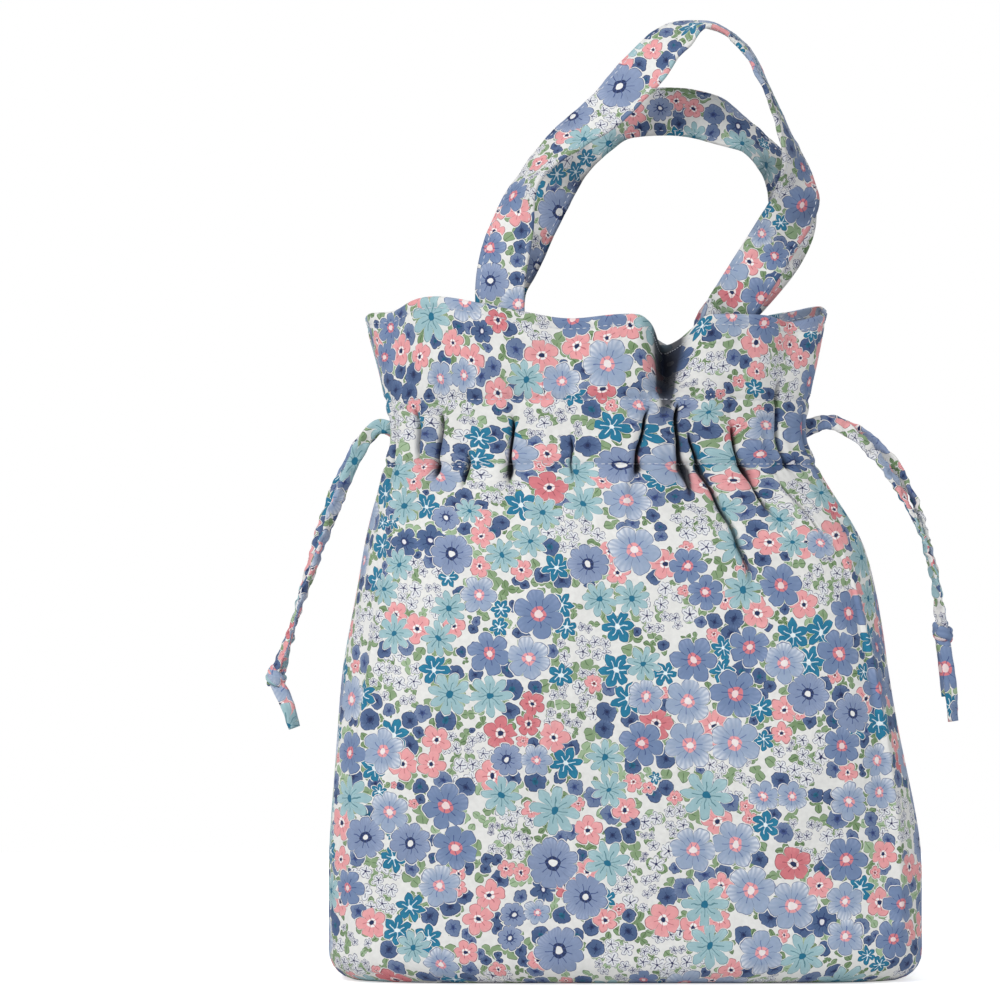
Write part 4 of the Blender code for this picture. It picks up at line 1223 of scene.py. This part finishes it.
def handle_stations(route, to_share, side):
    stations = foot_stations(-1, to_share, side)
    points = [(HANDLE_CENTRE + place * HANDLE_SPREAD, depth * 0.043, HEM_LEVEL + rise * HANDLE_RISE)
              for place, rise, depth, _ in route]
    for index, (_, _, _, turn) in enumerate(route):
        before, after = points[max(index - 1, 0)], points[min(index + 1, len(points) - 1)]
        run_x, run_z = after[0] - before[0], after[2] - before[2]
        size, angle = math.hypot(run_x, run_z), math.radians(turn)
        facing = (-run_z / size * math.sin(angle), -math.cos(angle), run_x / size * math.sin(angle))
        stations.append(np.array((*points[index], *facing, 0.0, 0.0, 0.0, 0.0, 0.0)))
    return [*stations, *reversed(foot_stations(1, to_share, side))]


handle_paths = {
    "front_handle": spline_points(handle_stations(FRONT_HANDLE_ROUTE, front_share, 1), 0.0018),
    "back_handle": spline_points(handle_stations(BACK_HANDLE_ROUTE, back_share, -1), 0.0018),
}
for name, path in handle_paths.items():
    print(name, round(1000 * float(np.linalg.norm(np.diff(path[:, :3], axis=0), axis=1).sum())), "mm long")


# %% Sweep the bands of the handles
def band_frames(path):
    """Centres, across and facing directions, and cross bends along a handle."""
    centres, facings, bends = path[:, :3], path[:, 3:6], path[:, 6:]
    runs = np.gradient(centres, axis=0)
    runs /= np.linalg.norm(runs, axis=1, keepdims=True)
    facings = facings - runs * np.sum(facings * runs, axis=1, keepdims=True)
    facings /= np.linalg.norm(facings, axis=1, keepdims=True)
    return centres, np.cross(runs, facings), facings, bends


def band_point(frames, index, across, out):
    """A point on a handle: across is from -1 to 1 of its half width, out is in metres."""
    centres, sides, facings, bends = frames
    drop = np.interp(across, ACROSS_PLACES, bends[index])
    place = centres[index] + sides[index] * (across * HANDLE_WIDTH / 2)
    ripple = 0.0010 * noise.noise(Vector(place) * 95.0) + 0.0004 * noise.noise(Vector(place) * 240.0)
    ripple *= min(1.0, index / 12, (len(centres) - 1 - index) / 12)
    return place + facings[index] * (out - drop + ripple)


def band_thickness(across):
    """Half the thickness across the band, squeezed along its two rows of stitches."""
    squeeze = 0.30 * math.exp(-(((abs(across) - 0.80) / 0.07) ** 2))
    rounded = math.sqrt(max(0.0, 1.0 - abs(across) ** 14))
    return HANDLE_THICKNESS / 2 * (1.0 - squeeze) * rounded


# Painted shade along each band: its place from 0 to 1, its reach and its depth, where the band lies in the
# other band's shade or in a fold.
HANDLE_SHADES = {
    "front_handle_band": ((0.00, 0.04, 0.25), (0.66, 0.03, 0.25), (0.79, 0.06, 0.50), (0.97, 0.04, 0.40)),
    "back_handle_band": (
        (0.06, 0.15, 0.52), (0.31, 0.04, 0.75), (0.40, 0.04, 0.25), (0.70, 0.07, 0.62), (0.86, 0.10, 0.28),
    ),
}


def band_shade(name, along, across):
    """Painted shade on the band at one place: in the other band's shade, in its own soft folds and along its
    edges.
    """
    shade = sum(depth * bell(along - middle, reach) for middle, reach, depth in HANDLE_SHADES[name])
    crumple = noise.noise(Vector((along * 34.0, across * 0.9, len(name))))
    edge = 0.10 * abs(across) ** 8
    return float(np.clip(shade * (0.75 + 0.6 * crumple) + edge + 0.22 * max(0.0, crumple - 0.15), 0.0, 1.0))


def band_mesh(name, path, print_start):
    frames = band_frames(path)
    places = np.sin(np.linspace(-math.pi / 2, math.pi / 2, 17))
    places = 0.55 * places + 0.45 * np.linspace(-1.0, 1.0, 17)
    section = [(place, band_thickness(place)) for place in places]
    section += [(place, -band_thickness(place)) for place in places[-2:0:-1]]
    points = [tuple(band_point(frames, index, across, out))
              for index in range(len(path)) for across, out in section]
    lengths = running_lengths(frames[0])
    reach = np.array([place for place, _ in section]) * HANDLE_WIDTH / 2
    around = np.concatenate(([0.0], np.cumsum(np.abs(np.diff(reach, append=reach[0])))))
    faces, corners = tube_faces(lengths, around, -1)
    shades = [band_shade(name, place / lengths[-1], across) for place in lengths for across, _ in section]
    return cloth_mesh(name, points, faces, corners + np.array(print_start), shades, cotton)


handles = {
    "front_handle": band_mesh("front_handle_band", handle_paths["front_handle"], (0.35, 2.03)),
    "back_handle": band_mesh("back_handle_band", handle_paths["back_handle"], (1.15, 2.41)),
}
for thing in handles.values():
    print(thing.name, len(thing.data.polygons), "faces")

# %% [markdown]
# A tied knot in soft tape is a lump: the tape winds twice round the strands,
# and one strap of it crosses over the front. Both are paths on a small barrel,
# so each keeps its face outward. The strands run in from above, and two loose
# tails hang from its lower end, cut square.

# %% The knots and their tails
KNOT_HEIGHT = 0.0135
KNOT_RADIUS = 0.0028
KNOT_TURNS = 1.8
KNOT_SECTION = (0.0052, 0.0028)
TAIL_SECTION = (0.0058, 0.0022)
TAIL_SPLAY = 0.12


def knot_axes(down):
    """Along the knot, to its side, and towards the front."""
    side = np.cross(down, (0.0, 1.0, 0.0))
    side = side / np.linalg.norm(side)
    return down, side, np.cross(down, side)


def knot_winding(centre, down):
    """The tape's turns round the strands, with its outward directions."""
    along, side, forward = knot_axes(down)
    steps = np.linspace(0.0, 1.0, 110)
    angles = 2.0 * math.pi * KNOT_TURNS * steps + 0.8
    outs = np.outer(np.sin(angles), side) + np.outer(np.cos(angles), forward)
    radius = KNOT_RADIUS * (0.20 + 0.92 * np.sin(math.pi * steps) ** 0.5)
    climb = (steps - 0.5) * 0.0048 + 0.0011 * np.cos(angles)
    return centre + outs * radius[:, None] + np.outer(climb, along), outs


def knot_strap(centre, down):
    """The strap that crosses over the front of the knot."""
    along, side, forward = knot_axes(down)
    angles = np.radians(np.linspace(-108.0, 108.0, 50))
    outs = np.outer(np.sin(angles), side) + np.outer(np.cos(angles), forward)
    radius = KNOT_RADIUS * (0.15 + 1.15 * np.cos(angles / 2.0))
    return centre + outs * radius[:, None] + np.outer(0.0030 * angles / 2.0, along), outs


def tail_path(centre, hand, length, lean):
    root = centre + np.array((0.0, hand * 0.0016, -0.0020))
    straight = np.array((lean, hand * TAIL_SPLAY, -1.0))
    curl = np.array((0.35 * lean, hand * 0.28, 0.0))
    middle = root + (straight + curl) * length / 2
    end = middle + (straight - curl / 2) * length / 2
    return spline_points((root, middle, end), 0.0012)


def tied_knot(name, side, strand, tail_length, lean, print_start):
    half_width, _, shift, _ = plan_at(NECK_LEVEL)
    ends = [np.array((shift + side * (half_width + out), 0.0, NECK_LEVEL + rise))
            for out, rise in strand[-2:]]
    down = (ends[1] - ends[0]) / np.linalg.norm(ends[1] - ends[0])
    centre = ends[1] + down * (KNOT_HEIGHT / 2 + 0.0003)
    made = []
    for part, (path, outs) in (("winding", knot_winding(centre, down)), ("strap", knot_strap(centre, down))):
        made.append(tape_mesh(
            f"{name}_{part}", path, outs[0], *KNOT_SECTION, 0.0, print_start, 0.0005, outs))
    for hand, share in ((-1.0, 1.0), (1.0, 0.72)):
        path = tail_path(centre, hand, tail_length * share, lean)
        made.append(tape_mesh(
            f"{name}_tail", path, (0.0, -1.0, 0.0), *TAIL_SECTION, 0.7 * hand, print_start, 0.0006))
    bpy.ops.object.select_all(action="DESELECT")
    for thing in made:
        thing.data.materials.append(tape_cloth)
        thing.select_set(True)
    bpy.context.view_layer.objects.active = made[0]
    bpy.ops.object.join()
    made[0].name = name
    return made[0]


knots = {
    "left": tied_knot("left_tied_knot", -1, LEFT_STRAND, 0.019, 0.38, (0.93, 3.31)),
    "right": tied_knot("right_tied_knot", 1, RIGHT_STRAND, 0.035, 0.10, (0.42, 3.77)),
}
for knot in knots.values():
    print(knot.name, len(knot.data.polygons), "faces")

# %% [markdown]
# A row of stitches repeats one small shape along a line, which is what Geometry
# Nodes are for. The script lays plain lines on the cloth, each point with its
# outward direction. The tree cuts the lines into even steps, sets one stitch at
# each, turned along the line, and makes them real. The result becomes a plain
# mesh, and the modifier goes.

# %% The tree that sews
def thread_material():
    material, recipe = new_material("sewing_thread")
    place = recipe.node("ShaderNodeTexCoord")("Object")
    twist = recipe.node("ShaderNodeTexNoise", None, {"Vector": place, "Scale": 2600.0, "Detail": 2.0})(0)
    colour = recipe.mix(twist, paint("C3C8D4"), paint("E4E6EA"))
    bump = recipe.node("ShaderNodeBump", None, {"Strength": 0.4, "Distance": 0.0001, "Height": twist})()
    values = {"Base Color": colour, "Roughness": 0.62, "Normal": bump}
    shader = recipe.node("ShaderNodeBsdfPrincipled", None, values)()
    recipe.node("ShaderNodeOutputMaterial", None, {"Surface": shader})
    return material


thread = thread_material()


def sewing_tree():
    tree = bpy.data.node_groups.new("rows_of_stitches", "GeometryNodeTree")
    for name, kind in (("Line", "Geometry"), ("Step", "Float"), ("Length", "Float"), ("Thread", "Float")):
        tree.interface.new_socket(name=name, in_out="INPUT", socket_type=f"NodeSocket{kind}")
    tree.interface.new_socket(name="Stitches", in_out="OUTPUT", socket_type="NodeSocketGeometry")

    def add(kind, settings=None, values=None):
        made = tree.nodes.new(kind)
        for key, value in (settings or {}).items():
            setattr(made, key, value)
        for key, value in (values or {}).items():
            if isinstance(value, bpy.types.NodeSocket):
                tree.links.new(value, made.inputs[key])
            else:
                made.inputs[key].default_value = value
        return made.outputs

    given = add("NodeGroupInput")
    line = add("GeometryNodeMeshToCurve", None, {0: given["Line"]})
    cut = add("GeometryNodeResampleCurve", {"mode": "LENGTH"}, {"Curve": line[0], "Length": given["Step"]})
    out = add("GeometryNodeInputNamedAttribute", {"data_type": "FLOAT_VECTOR"}, {"Name": "out"})
    along = add("GeometryNodeInputTangent")
    axes = {"primary_axis": "Z", "secondary_axis": "X"}
    turned = add("FunctionNodeAxesToRotation", axes, {0: out["Attribute"], 1: along[0]})
    ball = add("GeometryNodeMeshUVSphere", None, {"Segments": 7, "Rings": 5, "Radius": 0.5})
    size = add("ShaderNodeCombineXYZ", None, {0: given["Length"], 1: given["Thread"], 2: given["Thread"]})
    stitch = add("GeometryNodeTransform", None, {"Geometry": ball[0], "Scale": size[0]})
    values = {"Points": cut[0], "Instance": stitch[0], "Rotation": turned[0]}
    placed = add("GeometryNodeInstanceOnPoints", None, values)
    real = add("GeometryNodeRealizeInstances", None, {0: placed[0]})
    smooth = add("GeometryNodeSetShadeSmooth", None, {0: real[0]})
    dressed = add("GeometryNodeSetMaterial", None, {"Geometry": smooth[0], "Material": thread})
    add("NodeGroupOutput", None, {0: dressed[0]})
    return tree


stitches_tree = sewing_tree()
print("sewing tree:", len(stitches_tree.nodes), "nodes")


# %% Lay the lines and sew them
def sew(name, lines, step=0.0029, length=0.0020, thread_width=0.00038):
    """Turns lines of (points, outward directions) into one plain mesh of stitches."""
    mesh = bpy.data.meshes.new(name)
    points = np.concatenate([line for line, _ in lines])
    outs = np.concatenate([out for _, out in lines])
    edges, start = [], 0
    for line, _ in lines:
        edges += [(start + index, start + index + 1) for index in range(len(line) - 1)]
        start += len(line)
    mesh.from_pydata(points.tolist(), edges, [])
    directions = mesh.attributes.new("out", "FLOAT_VECTOR", "POINT")
    directions.data.foreach_set("vector", outs.astype(np.float32).ravel())
    guide = placed(f"{name}_guide", mesh)
    sewing = guide.modifiers.new("sewing", "NODES")
    sewing.node_group = stitches_tree
    inputs = [item for item in stitches_tree.interface.items_tree if item.in_out == "INPUT"]
    sockets = {item.name: item.identifier for item in inputs}
    sewing[sockets["Step"]] = step
    sewing[sockets["Length"]] = length
    sewing[sockets["Thread"]] = thread_width
    evaluated = guide.evaluated_get(bpy.context.evaluated_depsgraph_get())
    sewn = bpy.data.objects.new(name, bpy.data.meshes.new_from_object(evaluated))
    bpy.data.objects.remove(guide)
    bpy.context.scene.collection.objects.link(sewn)
    return sewn


def bag_line(height, inside=False):
    """A line round the bag at one height, on the outer or the inner face."""
    index = int(np.argmin(np.abs(heights - height)))
    wall, out = (inner, -grid_normals(soft)[index]) if inside else (outer, normals[index])
    line = wall[index] + out * 0.00012
    return np.concatenate((line, line[:1])), np.concatenate((out, out[:1]))


def handle_lines(path):
    frames = band_frames(path)
    lines = []
    for across in (-0.80, 0.80):
        for face in (-1.0, 1.0):
            out = face * (band_thickness(across) + 0.00010)
            rows = range(2, len(path) - 2)
            line = np.array([band_point(frames, index, across, out) for index in rows])
            lines.append((line, frames[2][2:-2] * face))
    return lines


stitching = {
    "bag_stitches": sew("bag_stitches", [
        bag_line(HEM_SEAM), bag_line(HEM_SEAM, True),
        bag_line(CHANNEL_LOW), bag_line(CHANNEL_HIGH),
    ]),
    "front_handle_stitches": sew("front_handle_stitches", handle_lines(handle_paths["front_handle"])),
    "back_handle_stitches": sew("back_handle_stitches", handle_lines(handle_paths["back_handle"])),
}
for name, thing in stitching.items():
    print(name, len(thing.data.polygons), "faces")

# %% [markdown]
# The cloth, the bands and the knots replace the plain solids of the imported
# model, and all ride on its one body.

# %% Tie the pieces to the imported model
for piece, node in (
    (bag, "bag_body"), (handles["front_handle"], "front_handle"), (handles["back_handle"], "back_handle"),
):
    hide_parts(node)
    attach(piece, "root")
for thing in stitching.values():
    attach(thing, "root")
for name in ("left", "right"):
    for thing in (strands[name, -1], strands[name, 1], channel_runs[name]):
        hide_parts(f"{name}_drawstring")
        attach(thing, "root")
    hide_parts(f"{name}_knot")
    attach(knots[name], "root")
    for lane in (-1, 1):
        path = strand_paths[name, lane]

# %% [markdown]
# The bag stands on a plain white floor in soft studio light. Big lamps give the
# folds their soft shade, and the world fills in from all round. The white
# behind the bag is what the camera sees of the world, not extra light on the
# cloth. The floor is white too, and keeps the shadow under the bag.

# %% Floor, world and lamps
WHITE = (1.0, 1.0, 1.0, 1.0)
FLOOR_GLOW = 0.62

floor_material, floor_recipe = new_material("studio_floor")
seen = floor_recipe.node("ShaderNodeLightPath")("Is Camera Ray")
matt = floor_recipe.node("ShaderNodeBsdfDiffuse", None, {"Color": (0.86, 0.86, 0.86, 1.0)})()
glow = floor_recipe.node("ShaderNodeEmission", None, {"Color": WHITE, "Strength": seen * FLOOR_GLOW})()
floor_recipe.node("ShaderNodeOutputMaterial", None, {
    "Surface": floor_recipe.node("ShaderNodeAddShader", None, {0: matt, 1: glow})()})
floor_mesh = bpy.data.meshes.new("studio_floor")
floor_mesh.from_pydata([(-1.4, -1.4, 0), (1.4, -1.4, 0), (1.4, 0.7, 0), (-1.4, 0.7, 0)], [], [(0, 1, 2, 3)])
floor_mesh.materials.append(floor_material)
floor = placed("studio_floor", floor_mesh)

world = bpy.data.worlds.new("studio")
bpy.context.scene.world = world
world.use_nodes = True
world_nodes = world.node_tree.nodes
world_nodes.clear()
path_kind = world_nodes.new("ShaderNodeLightPath")
fill = world_nodes.new("ShaderNodeBackground")
fill.inputs["Color"].default_value = (0.93, 0.96, 1.0, 1.0)
fill.inputs["Strength"].default_value = 0.42
backdrop = world_nodes.new("ShaderNodeBackground")
backdrop.inputs["Color"].default_value = WHITE
backdrop.inputs["Strength"].default_value = 1.0
choice = world_nodes.new("ShaderNodeMixShader")
ending = world_nodes.new("ShaderNodeOutputWorld")
world.node_tree.links.new(path_kind.outputs["Is Camera Ray"], choice.inputs[0])
world.node_tree.links.new(fill.outputs[0], choice.inputs[1])
world.node_tree.links.new(backdrop.outputs[0], choice.inputs[2])
world.node_tree.links.new(choice.outputs[0], ending.inputs[0])


def soft_lamp(name, place, size, power):
    """A square lamp that looks at the middle of the bag."""
    data = bpy.data.lights.new(name, "AREA")
    data.size = size
    data.energy = power
    lamp = placed(name, data)
    lamp.location = place
    lamp.rotation_euler = (Vector((0.0, 0.0, 0.17)) - Vector(place)).to_track_quat("-Z", "Y").to_euler()


soft_lamp("key_lamp", (-1.2, -1.5, 1.7), 0.9, 34.0)
soft_lamp("fill_lamp", (1.6, -1.4, 0.8), 1.4, 7.0)
soft_lamp("rim_lamp", (0.4, 1.6, 1.6), 1.2, 8.0)
bpy.context.scene.view_settings.view_transform = "Standard"
print("studio ready")
